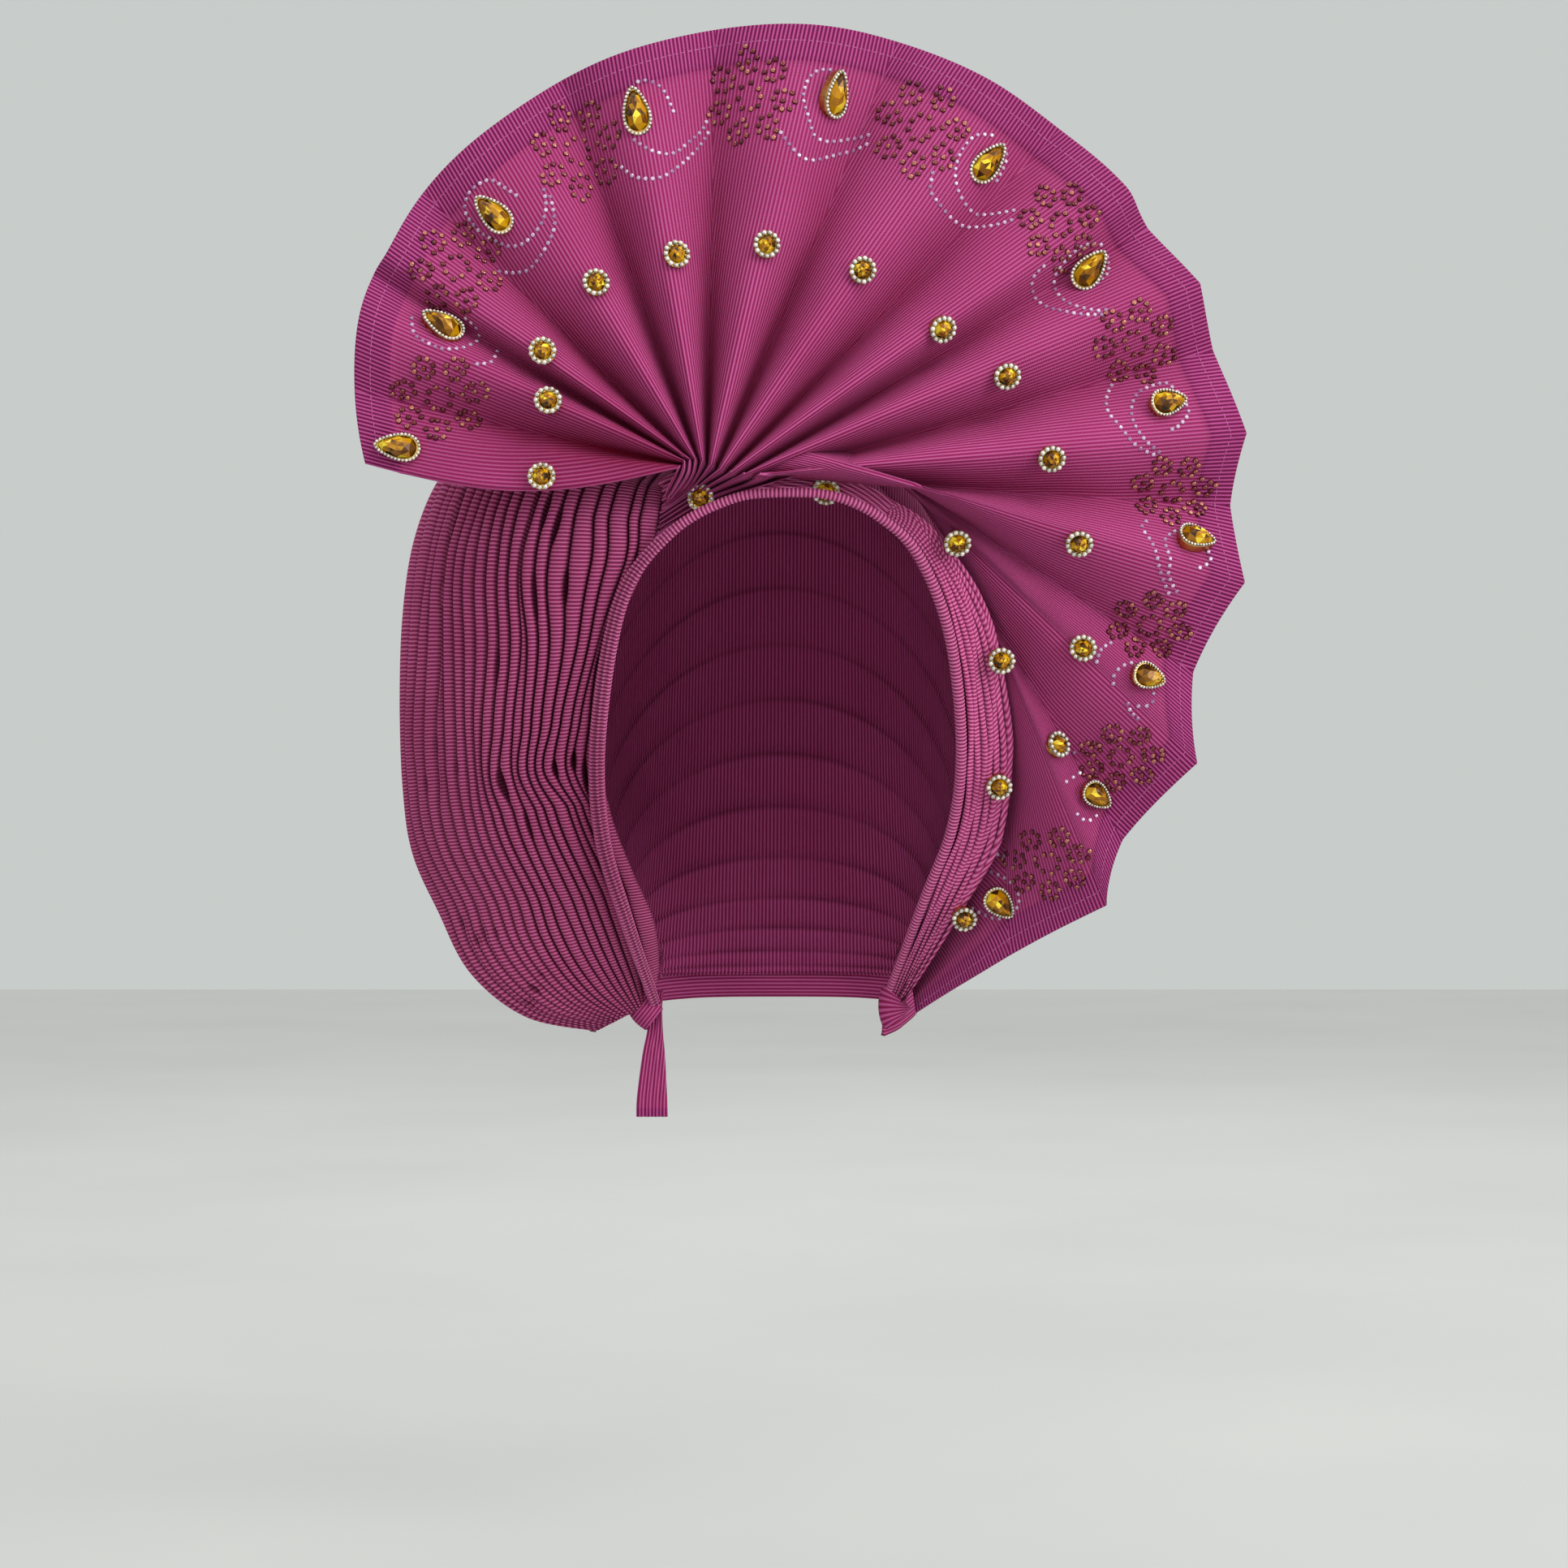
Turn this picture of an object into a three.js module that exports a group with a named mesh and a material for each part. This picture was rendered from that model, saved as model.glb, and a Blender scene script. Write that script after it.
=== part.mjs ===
import * as THREE from "three";

// Tied gele head tie, in millimetres.
// +X is the photo's right, +Y goes to the back of the head, +Z is up.
// The origin is the inside top of the crown, where the head seats.

const SEAT_GAP = 0.35;

// Colours and finishes.
const CLOTH_COLOUR = 0x9a3e6b;
const CLOTH_ROUGHNESS = 0.75;
const STONE_COLOUR = 0xc98a1e;
const STONE_ROUGHNESS = 0.2;
const STONE_METALNESS = 0.4;

// Fan: one pleated sheet that spreads from the pinch above the brow.
const PINCH_X = -28.1;
const PINCH_Z = -41.2;
const FAN_WALL = 1.3;
const FAN_WALL_MOST = 3.4;
const FAN_ROWS = [0, 0.05, 0.12, 0.22, 0.36, 0.52, 0.7, 0.87, 1];
const FAN_PANEL_COLUMNS = 3;
const LEAF_SAG = 9.2;
const PLEAT_SLOPE_MOST = 1.2;
const PLEAT_ROOT_SHARE = 0.3;
const PLEAT_RISE_END = 0.3;
const PLEAT_HEM_LOSS = 0.55;

// One row for each fold line, from the free leaf on the left round to the right nape.
// Even rows are ridges and odd rows are valleys.
const FOLDS = table(
  ["angle", "reach", "hemY", "rootX", "rootY", "rootZ", "depth"],
  [
    [177.0, 120.5, -80, -35.0, -90, -37.2, 0],
    [165.4, 128.4, -77, -34.4, -89, -36.3, 6],
    [154.5, 136.4, -75, -33.6, -89, -34.9, 7],
    [147.5, 139.5, -73, -32.6, -89, -35.2, 6],
    [143.0, 140.6, -72, -31.6, -89, -34.6, 7],
    [133.6, 145.4, -70, -30.6, -89, -35.2, 8],
    [119.8, 150.2, -67, -29.6, -89, -34.4, 9],
    [108.9, 154.8, -65, -28.4, -89, -35.4, 9],
    [99.1, 159.9, -64, -27.0, -89, -34.8, 9],
    [88.3, 165.2, -62, -25.6, -89, -36.4, 9],
    [76.5, 172.5, -61, -24.0, -89, -36.2, 9],
    [66.1, 176.4, -61, -22.4, -89, -37.9, 9],
    [54.8, 181.1, -60, -20.8, -89, -38.0, 9],
    [44.9, 184.1, -59, -18.9, -89, -39.4, 9],
    [34.9, 189.0, -59, -16.9, -89, -39.2, 9],
    [30.0, 188.2, -59, -14.6, -89, -40.4, 8],
    [22.0, 195.5, -58, -12.3, -89, -40.0, 9],
    [15.0, 193.9, -56, -9.5, -89, -41.2, 9],
    [5.5, 199.6, -54, -6.3, -89, -40.3, 10],
    [-1.9, 194.0, -52, 0.6, -89, -40.0, 8],
    [-10.0, 201.8, -50, 21.8, -87, -36.0, 11],
    [-20.4, 193.4, -44, 43.0, -79, -39.2, 11],
    [-29.0, 208.6, -40, 61.5, -58, -56.5, 12],
    [-39.6, 203.2, -30, 70.0, -55, -70.5, 11],
    [-45.7, 215.5, -24, 76.0, -43, -82.5, 12],
    [-56.4, 208.6, -10, 84.0, -14, -128.0, 9],
    [-67.7, 213.5, 24, 52.0, 29, -230.0, 0],
  ],
);

// Rolled edge round the face opening, from the left nape over the brow to the right nape.
const ROLL_SIDES = 8;
const ROLL_STATIONS = 42;
const RIM_STEP = 0.02;
const RIM = table(
  ["x", "y", "z", "radius"],
  [
    [-48.5, 33.0, -236.0, 2.0],
    [-61.7, 3.0, -201.0, 2.6],
    [-67.0, -18.0, -168.0, 2.9],
    [-66.8, -41.0, -130.0, 2.9],
    [-57.0, -65.7, -83.0, 2.6],
    [-38.8, -75.6, -59.5, 1.9],
    [-17.3, -81.2, -48.1, 1.7],
    [1.6, -83.0, -45.8, 1.7],
    [20.4, -82.4, -47.2, 1.7],
    [37.0, -78.8, -54.8, 1.8],
    [51.0, -72.4, -68.6, 1.9],
    [62.5, -59.0, -97.0, 2.0],
    [67.6, -38.1, -136.2, 2.0],
    [65.2, -19.5, -166.0, 2.0],
    [55.5, -1.5, -194.0, 1.9],
    [42.0, 31.0, -234.0, 1.6],
  ],
);

// Band of narrow pleats outside the rolled edge; at is the place along the rim.
const BROW_STATIONS = 24;
const BROW_PLEATS = 7;
const BROW_WALL = 1.6;
const BROW_AMPLITUDE = 0.8;
const BROW_PITCH_SHARE = 0.5;
const BROW_CLEAR = 0.6;
const FACE_CENTRE_Z = -135;
const BROW = table(
  ["at", "width", "recess", "fall"],
  [
    [4.75, 11, 7.0, 0.1],
    [5.3, 16, 7.0, 0.1],
    [6.0, 13, 7.5, 0.1],
    [7.0, 7, 7.5, 0.1],
    [8.0, 6, 7.5, 0.1],
    [9.0, 6, 6.0, 0.15],
    [10.0, 9, 4.0, 0.25],
    [11.0, 15, 1.0, 0.35],
    [12.0, 17, 0.0, 0.35],
    [13.0, 17, 0.0, 0.35],
    [14.0, 13, 0.0, 0.35],
    [14.93, 5, 0.0, 0.3],
  ],
);

// Crown cap: egg-shaped hoops that turn about an axis through the two nape gathers.
// Four gores meet at a seam over the head and a seam from front to back.
const CAP_AXIS_Y = 46;
const CAP_AXIS_Z = -228;
const CAP_FOOT_RISE = 12;
const CAP_FOOT_X = 47;
const CAP_WIDEST = 0.45;
const CAP_WALL = 1.6;
const CAP_COLUMNS = 11;
const CAP_CENTRE = new THREE.Vector3(0, 5, -125);
const GORES = table(
  ["name", "fromHoop", "toHoop", "rows", "fromSide", "toSide"],
  [
    ["crown_front_left", 0, 3.746, 5, -1, -0.0008],
    ["crown_front_right", 0, 3.746, 5, 0.0008, 1],
    ["crown_back_left", 3.754, 9, 6, -1, -0.0008],
    ["crown_back_right", 3.754, 9, 6, 0.0008, 1],
  ],
);
const HOOPS = table(
  ["topY", "topZ", "halfWidth", "bow"],
  [
    [-72, -36, 69, 16],
    [-50, -10, 76, 10],
    [-10, 3, 80, 4],
    [40, -8, 80, 0],
    [80, -45, 78, 0],
    [100, -95, 72, 0],
    [98, -145, 64, 0],
    [86, -190, 57, 0],
    [77, -216, 52, 0],
    [74, -227, 51, 0],
  ],
);

// Side wrap: a bun of narrow pleats, one row for each section from the crown to the nape.
// front is the edge by the face, out is the widest point, back is a place on the cap.
const WRAP_FRONT_PLEATS = 20;
const WRAP_BACK_PLEATS = 7;
const WRAP_WALL = 1.8;
const WRAP_AMPLITUDE = 1.0;
const WRAP_PITCH_SHARE = 0.24;
const WRAP_ROUND = 2.4;
const WRAP_STAND_OFF = 2.2;
const WRAP_BACK_PLACE = -0.5;
const WRAP = table(
  ["frontX", "frontY", "frontZ", "outX", "outY", "outZ", "backHoop"],
  [
    [-39.0, -59.0, -35.0, -68.0, -14.0, -38.0, 2.2],
    [-42.0, -64.0, -37.0, -93.0, 2.0, -22.0, 3.0],
    [-44.5, -68.0, -40.5, -114.0, 7.0, -21.0, 3.6],
    [-46.5, -71.0, -45.0, -128.7, 8.0, -34.4, 4.1],
    [-51.0, -72.0, -62.0, -138.4, 8.0, -58.2, 4.6],
    [-62.5, -61.0, -88.5, -143.1, 9.0, -87.2, 5.1],
    [-69.5, -47.0, -116.0, -144.6, 10.0, -120.0, 5.6],
    [-72.0, -31.5, -144.0, -144.3, 12.0, -149.7, 6.1],
    [-71.0, -15.0, -170.0, -141.2, 14.0, -176.2, 6.6],
    [-67.0, 0.0, -192.0, -131.8, 18.0, -199.7, 7.0],
    [-61.5, 13.0, -211.0, -119.8, 24.0, -223.8, 7.4],
    [-57.0, 24.0, -225.5, -99.0, 31.0, -241.0, 7.7],
    [-53.6, 32.5, -237.5, -72.0, 37.0, -247.0, 7.95],
  ],
);

// Strap behind the neck and the free tail.
const STRAP_HEIGHT = 11;
const STRAP_WALL = 1.8;
const STRAP_STATIONS = 22;
const STRAP = table(
  ["x", "y", "z"],
  [
    [41.5, 29.0, -243.0],
    [49.0, 40.0, -240.0],
    [55.4, 59.4, -233.5],
    [36.0, 74.4, -231.0],
    [0.0, 76.8, -230.5],
    [-36.0, 74.4, -231.0],
    [-55.4, 59.4, -233.5],
    [-53.5, 41.0, -241.5],
  ],
);
const TAIL_WALL = 1.6;
const TAIL_COLUMNS = 4;
const TAIL_FOLD = 0.7;
const TAIL = table(
  ["x", "y", "z", "width"],
  [
    [-52.5, 38.7, -238.5, 6.0],
    [-52.0, 37.5, -250.0, 7.5],
    [-51.0, 35.5, -262.0, 9.5],
    [-50.0, 35.0, -272.0, 11.0],
    [-49.6, 35.0, -280.5, 11.6],
  ],
);

// Stones: a cut gem with its table in a low bead setting.
const TEAR_LENGTH = 20;
const TEAR_WIDTH = 13;
const TEAR_SIDES = 12;
const TEAR_TAPER = 0.55;
const TEAR_HEIGHT = 5.5;
const ROUND_WIDTH = 10.5;
const ROUND_SIDES = 10;
const ROUND_HEIGHT = 4.2;
const SETTING_SHARE = 0.42;
const GIRDLE_SHARE = 0.74;
const TABLE_SHARE = 0.4;
const STONE_RINGS = [0.2, 0.4, 0.6, 0.8, 1];
const STONE_DENSE = 3;
const FRONT_OF_ALL = -300;
const TEAR_STONES = table(
  ["x", "z"],
  [
    [-136.6, -28.9],
    [-121.2, 14.1],
    [-103.0, 54.8],
    [-51.8, 92.3],
    [19.8, 99.6],
    [76.0, 75.5],
    [112.9, 37.4],
    [140.7, -11.5],
    [151.6, -61.7],
    [134.6, -110.9],
    [117.4, -154.2],
    [83.4, -194.6],
  ],
);
const FAN_STONES = table(
  ["x", "z"],
  [
    [-84.4, -40.4],
    [-81.9, -13.9],
    [-83.9, 4.1],
    [-65.3, 28.5],
    [-36.9, 38.7],
    [-4.6, 42.5],
    [29.6, 33.6],
    [58.1, 13.3],
    [81.5, -3.2],
    [97.7, -32.7],
    [108.2, -62.8],
    [110.9, -100.2],
    [102.5, -135.7],
  ],
);
const BROW_STONES = table(
  ["x", "z"],
  [
    [-27.9, -47.0],
    [16.8, -45.2],
  ],
);
const CHEEK_STONES = table(
  ["x", "z"],
  [
    [64.2, -62.6],
    [81.3, -104.5],
    [81.8, -150.6],
    [70.3, -200.7],
  ],
);

// Turns bare rows into records with named columns.
function table(columns, data) {
  return data.map((row) => Object.fromEntries(columns.map((column, i) => [column, row[i]])));
}

// Smooth value of a column at a place between rows.
function smooth(rows, column, at) {
  const last = rows.length - 1;
  const i = Math.min(Math.max(Math.floor(at), 0), last - 1);
  const t = at - i;
  const value = (n) => rows[Math.min(Math.max(n, 0), last)][column];
  const [a, b, c, d] = [value(i - 1), value(i), value(i + 1), value(i + 2)];
  const bend = 2 * a - 5 * b + 4 * c - d + t * (3 * (b - c) + d - a);
  return b + 0.5 * t * (c - a + t * bend);
}

// Straight value of a column against a key column.
function straight(rows, key, column, at) {
  const i = Math.min(
    Math.max(rows.findIndex((row) => row[key] > at) - 1, 0),
    rows.length - 2,
  );
  const n = at >= rows[rows.length - 1][key] ? rows.length - 2 : i;
  const t = (at - rows[n][key]) / (rows[n + 1][key] - rows[n][key]);
  return THREE.MathUtils.lerp(rows[n][column], rows[n + 1][column], THREE.MathUtils.clamp(t, 0, 1));
}

const smoothPoint = (rows, at) =>
  new THREE.Vector3(smooth(rows, "x", at), smooth(rows, "y", at), smooth(rows, "z", at));

// Closes two matching grids of points into one wall.
function wall(front, back) {
  const rows = front.length;
  const columns = front[0].length;
  const points = [...front.flat(), ...back.flat()];
  const f = (i, j) => i * columns + j;
  const b = (i, j) => rows * columns + i * columns + j;
  const index = [];
  const quad = (p, q, r, s) => index.push(p, q, r, p, r, s);
  for (let i = 0; i + 1 < rows; i += 1) {
    for (let j = 0; j + 1 < columns; j += 1) {
      quad(f(i, j), f(i, j + 1), f(i + 1, j + 1), f(i + 1, j));
      quad(b(i, j), b(i + 1, j), b(i + 1, j + 1), b(i, j + 1));
    }
    quad(f(i, 0), f(i + 1, 0), b(i + 1, 0), b(i, 0));
    quad(f(i, columns - 1), b(i, columns - 1), b(i + 1, columns - 1), f(i + 1, columns - 1));
  }
  for (let j = 0; j + 1 < columns; j += 1) {
    quad(f(0, j), b(0, j), b(0, j + 1), f(0, j + 1));
    quad(f(rows - 1, j), f(rows - 1, j + 1), b(rows - 1, j + 1), b(rows - 1, j));
  }
  return solid(points, index);
}

// Makes a geometry whose faces look outward.
function solid(points, index) {
  let volume = 0;
  for (let i = 0; i < index.length; i += 3) {
    const [a, b, c] = [points[index[i]], points[index[i + 1]], points[index[i + 2]]];
    volume += a.dot(b.clone().cross(c));
  }
  const order = volume < 0 ? index.slice().reverse() : index;
  const geometry = new THREE.BufferGeometry();
  const flat = points.flatMap((p) => [p.x, p.y, p.z]);
  geometry.setAttribute("position", new THREE.Float32BufferAttribute(flat, 3));
  geometry.setIndex(order);
  geometry.computeVertexNormals();
  return geometry;
}

function piece(name, geometry, colour, roughness, metalness) {
  const material = new THREE.MeshStandardMaterial({ color: colour, roughness, metalness });
  const mesh = new THREE.Mesh(geometry, material);
  mesh.name = name;
  return mesh;
}

const clothPiece = (name, geometry) => piece(name, geometry, CLOTH_COLOUR, CLOTH_ROUGHNESS, 0);

// Point on a fold line, from the root at 0 to the hem at 1, before it is pleated.
function foldPoint(fold, n, t) {
  const angle = THREE.MathUtils.degToRad(fold.angle);
  const root = new THREE.Vector3(fold.rootX, fold.rootY, fold.rootZ);
  const hem = new THREE.Vector3(
    PINCH_X + fold.reach * Math.cos(angle),
    fold.hemY,
    PINCH_Z + fold.reach * Math.sin(angle),
  );
  const point = root.lerp(hem, t);
  if (n === 0) {
    point.z -= LEAF_SAG * Math.sin(Math.PI * t);
  }
  return point;
}

// Half-height of the pleat at a fold line.
function pleatDepth(n, t) {
  const here = foldPoint(FOLDS[n], n, t);
  const near = [n - 1, n + 1]
    .filter((m) => m >= 0 && m < FOLDS.length)
    .map((m) => here.distanceTo(foldPoint(FOLDS[m], m, t)));
  const pitch = Math.min(...near);
  const rise = PLEAT_ROOT_SHARE + (1 - PLEAT_ROOT_SHARE) * Math.min(1, t / PLEAT_RISE_END);
  const open = FOLDS[n].depth * rise * (1 - PLEAT_HEM_LOSS * t * t);
  return { depth: Math.min(open, PLEAT_SLOPE_MOST * pitch), pitch };
}

// Front point and wall of the fan at a place between fold n and the next.
function fanPoint(n, share, t) {
  const m = Math.min(n + 1, FOLDS.length - 1);
  const from = foldPoint(FOLDS[n], n, t);
  const to = foldPoint(FOLDS[m], m, t);
  const fromPleat = pleatDepth(n, t);
  const toPleat = pleatDepth(m, t);
  const ridgeShare = n % 2 === 0 ? share : 1 - share;
  const ridge = n % 2 === 0 ? fromPleat : toPleat;
  const valley = n % 2 === 0 ? toPleat : fromPleat;
  const height = 2 * Math.cos((Math.PI / 2) * ridgeShare) - 1;
  const lift = height > 0 ? height * ridge.depth : height * valley.depth;
  const slope = (ridge.depth + valley.depth) / Math.max(from.distanceTo(to), SEAT_GAP);
  const point = from.lerp(to, share);
  point.y -= lift;
  return { point, thick: Math.min(FAN_WALL * Math.hypot(1, slope), FAN_WALL_MOST) };
}

function makeFan() {
  const front = [];
  const back = [];
  for (const t of FAN_ROWS) {
    const frontRow = [];
    const backRow = [];
    for (let n = 0; n + 1 < FOLDS.length; n += 1) {
      const columns = n + 2 === FOLDS.length ? FAN_PANEL_COLUMNS + 1 : FAN_PANEL_COLUMNS;
      for (let c = 0; c < columns; c += 1) {
        const { point, thick } = fanPoint(n, c / FAN_PANEL_COLUMNS, t);
        frontRow.push(point);
        backRow.push(point.clone().add(new THREE.Vector3(0, thick, 0)));
      }
    }
    front.push(frontRow);
    back.push(backRow);
  }
  return clothPiece("fan", wall(front, back));
}

// Tube along the rim with a round section.
function makeRoll() {
  const last = RIM.length - 1;
  const points = [];
  const index = [];
  for (let i = 0; i <= ROLL_STATIONS; i += 1) {
    const at = (last * i) / ROLL_STATIONS;
    const centre = smoothPoint(RIM, at);
    const radius = smooth(RIM, "radius", at);
    const { across, outward } = rimFrame(at);
    for (let s = 0; s < ROLL_SIDES; s += 1) {
      const angle = (2 * Math.PI * s) / ROLL_SIDES;
      points.push(
        centre
          .clone()
          .addScaledVector(across, radius * Math.cos(angle))
          .addScaledVector(outward, radius * Math.sin(angle)),
      );
    }
  }
  for (let i = 0; i < ROLL_STATIONS; i += 1) {
    for (let s = 0; s < ROLL_SIDES; s += 1) {
      const [a, b] = [i * ROLL_SIDES + s, i * ROLL_SIDES + ((s + 1) % ROLL_SIDES)];
      index.push(a, b, b + ROLL_SIDES, a, b + ROLL_SIDES, a + ROLL_SIDES);
    }
  }
  const end = ROLL_STATIONS * ROLL_SIDES;
  for (let s = 1; s + 1 < ROLL_SIDES; s += 1) {
    index.push(0, s + 1, s, end, end + s, end + s + 1);
  }
  return clothPiece("face_roll", solid(points, index));
}

// Directions at the rim: across runs away from the face, outward looks away from the head.
function rimFrame(at) {
  const ahead = smoothPoint(RIM, at + RIM_STEP);
  const along = ahead.sub(smoothPoint(RIM, at - RIM_STEP)).normalize();
  const centre = smoothPoint(RIM, at);
  const across = new THREE.Vector3(centre.x, 0, centre.z - FACE_CENTRE_Z);
  across.addScaledVector(along, -across.dot(along)).normalize();
  const outward = along.clone().cross(across).normalize();
  if (outward.y > 0) {
    outward.negate();
  }
  return { across, outward };
}

// Base point of the brow band at a place along the rim and a share of its width.
function browPoint(at, share) {
  const { across } = rimFrame(at);
  const radius = smooth(RIM, "radius", at);
  const width = straight(BROW, "at", "width", at);
  const reach = radius + BROW_CLEAR + share * width;
  const point = smoothPoint(RIM, at).addScaledVector(across, reach);
  point.y += straight(BROW, "at", "recess", at);
  point.y += straight(BROW, "at", "fall", at) * share * width;
  return point;
}

function makeBrow() {
  const front = [];
  const back = [];
  const [first, last] = [BROW[0].at, BROW[BROW.length - 1].at];
  for (let i = 0; i <= BROW_STATIONS; i += 1) {
    const at = first + ((last - first) * i) / BROW_STATIONS;
    const { outward } = rimFrame(at);
    const columns = 2 * BROW_PLEATS;
    const pitch = straight(BROW, "at", "width", at) / BROW_PLEATS;
    const amplitude = Math.min(BROW_AMPLITUDE, BROW_PITCH_SHARE * pitch);
    const frontRow = [];
    const backRow = [];
    for (let j = 0; j <= columns; j += 1) {
      const base = browPoint(at, j / columns);
      const lift = j % 2 === 1 ? amplitude : 0;
      frontRow.push(base.clone().addScaledVector(outward, lift));
      backRow.push(base.clone().addScaledVector(outward, -BROW_WALL));
    }
    front.push(frontRow);
    back.push(backRow);
  }
  return clothPiece("brow_pleats", wall(front, back));
}

// Point of the crown cap at a hoop place and an angle across the head, 0 at the top.
function capPoint(at, angle) {
  const topY = smooth(HOOPS, "topY", at) - CAP_AXIS_Y;
  const topZ = smooth(HOOPS, "topZ", at) - CAP_AXIS_Z;
  const halfWidth = smooth(HOOPS, "halfWidth", at);
  const height = Math.hypot(topY, topZ);
  const middle = Math.max(CAP_WIDEST * height, CAP_FOOT_RISE);
  const footAngle = Math.PI - Math.asin(CAP_FOOT_X / halfWidth);
  const b = Math.abs(angle) * footAngle;
  const below = (middle - CAP_FOOT_RISE) / -Math.cos(footAngle);
  const rise = Math.cos(b) > 0 ? (height - middle) * Math.cos(b) : below * Math.cos(b);
  const share = (middle + rise) / height;
  const bow = smooth(HOOPS, "bow", at) * 4 * share * (1 - share);
  return new THREE.Vector3(
    halfWidth * Math.sin(b) * Math.sign(angle),
    CAP_AXIS_Y + topY * share - bow,
    CAP_AXIS_Z + topZ * share,
  );
}

// Moves a point toward another by a distance.
const toward = (point, target, distance) =>
  point.clone().addScaledVector(target.clone().sub(point).normalize(), distance);

function makeGore(gore) {
  const front = [];
  const back = [];
  for (let i = 0; i <= gore.rows; i += 1) {
    const hoop = THREE.MathUtils.lerp(gore.fromHoop, gore.toHoop, i / gore.rows);
    const outer = [];
    for (let j = 0; j <= CAP_COLUMNS; j += 1) {
      const side = THREE.MathUtils.lerp(gore.fromSide, gore.toSide, j / CAP_COLUMNS);
      outer.push(capPoint(hoop, side));
    }
    front.push(outer);
    back.push(outer.map((point) => toward(point, CAP_CENTRE, CAP_WALL)));
  }
  return clothPiece(gore.name, wall(front, back));
}

// Smooth base of the side wrap: share runs 0 to 1 to the widest point, then 1 to 2 to the back.
function wrapPoint(at, share) {
  const part = (name) =>
    new THREE.Vector3(
      smooth(WRAP, `${name}X`, at),
      smooth(WRAP, `${name}Y`, at),
      smooth(WRAP, `${name}Z`, at),
    );
  const front = part("front");
  const out = part("out");
  const hoop = smooth(WRAP, "backHoop", at);
  const onCap = capPoint(hoop, WRAP_BACK_PLACE);
  const back = toward(onCap, CAP_CENTRE, -WRAP_STAND_OFF);
  if (share <= 1) {
    const bulge = Math.pow(1 - Math.pow(share, WRAP_ROUND), 1 / WRAP_ROUND);
    return new THREE.Vector3(
      THREE.MathUtils.lerp(front.x, out.x, share),
      out.y + (front.y - out.y) * bulge,
      THREE.MathUtils.lerp(front.z, out.z, share),
    );
  }
  const turn = (Math.PI / 2) * (share - 1);
  return new THREE.Vector3(
    back.x + (out.x - back.x) * Math.cos(turn),
    out.y + (back.y - out.y) * Math.sin(turn),
    THREE.MathUtils.lerp(out.z, back.z, share - 1),
  );
}

function makeWrap() {
  const front = [];
  const back = [];
  const columns = 2 * (WRAP_FRONT_PLEATS + WRAP_BACK_PLEATS);
  for (let i = 0; i < WRAP.length; i += 1) {
    const base = [];
    for (let j = 0; j <= columns; j += 1) {
      const turn = 2 * WRAP_FRONT_PLEATS;
      const share = j <= turn ? j / turn : 1 + (j - turn) / (2 * WRAP_BACK_PLEATS);
      base.push(wrapPoint(i, share));
    }
    const middle = base[0].clone().lerp(base[columns], 0.5);
    const pitch = Math.abs(WRAP[i].outX - WRAP[i].frontX) / WRAP_FRONT_PLEATS;
    const amplitude = Math.min(WRAP_AMPLITUDE, WRAP_PITCH_SHARE * pitch);
    front.push(base.map((point, j) => toward(point, middle, j % 2 === 1 ? -amplitude : 0)));
    back.push(base.map((point) => toward(point, middle, WRAP_WALL)));
  }
  return clothPiece("side_wrap", wall(front, back));
}

function makeStrap() {
  const front = [];
  const back = [];
  const last = STRAP.length - 1;
  for (let i = 0; i <= STRAP_STATIONS; i += 1) {
    const centre = smoothPoint(STRAP, (last * i) / STRAP_STATIONS);
    const inward = new THREE.Vector3(-centre.x, CAP_AXIS_Y - centre.y, 0).normalize();
    const rise = new THREE.Vector3(0, 0, STRAP_HEIGHT / 2);
    const inner = centre.clone().addScaledVector(inward, STRAP_WALL);
    front.push([centre.clone().sub(rise), centre.clone().add(rise)]);
    back.push([inner.clone().sub(rise), inner.clone().add(rise)]);
  }
  return clothPiece("nape_strap", wall(front, back));
}

function makeTail() {
  const front = [];
  const back = [];
  for (const row of TAIL) {
    const frontRow = [];
    const backRow = [];
    for (let j = 0; j <= TAIL_COLUMNS; j += 1) {
      const x = row.x + row.width * (j / TAIL_COLUMNS - 0.5);
      const y = row.y + (j % 2 === 1 ? -TAIL_FOLD : 0);
      frontRow.push(new THREE.Vector3(x, y, row.z));
      backRow.push(new THREE.Vector3(x, row.y + TAIL_WALL, row.z));
    }
    front.push(frontRow);
    back.push(backRow);
  }
  return clothPiece("tie_tail", wall(front, back));
}

// Outline of a stone at a size of 1, with its point along +v for a teardrop.
function stoneOutline(sides, pointed) {
  const outline = [];
  for (let s = 0; s < sides; s += 1) {
    const angle = (2 * Math.PI * s) / sides;
    const v = Math.cos(angle);
    const taper = pointed ? TEAR_TAPER * Math.cos(angle / 2) ** 2 : 0;
    outline.push([Math.sin(angle) * (1 - taper), v]);
  }
  return outline;
}

// Points on the cloth facets straight behind the given places.
function clothBehind(cloths, places) {
  const caster = new THREE.Raycaster();
  const ahead = new THREE.Vector3(0, 1, 0);
  const from = new THREE.Vector3();
  return places.flatMap((place) => {
    from.set(place.x, FRONT_OF_ALL, place.z);
    caster.set(from, ahead);
    const [hit] = caster.intersectObjects(cloths);
    return hit ? [hit.point.clone()] : [];
  });
}

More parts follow.
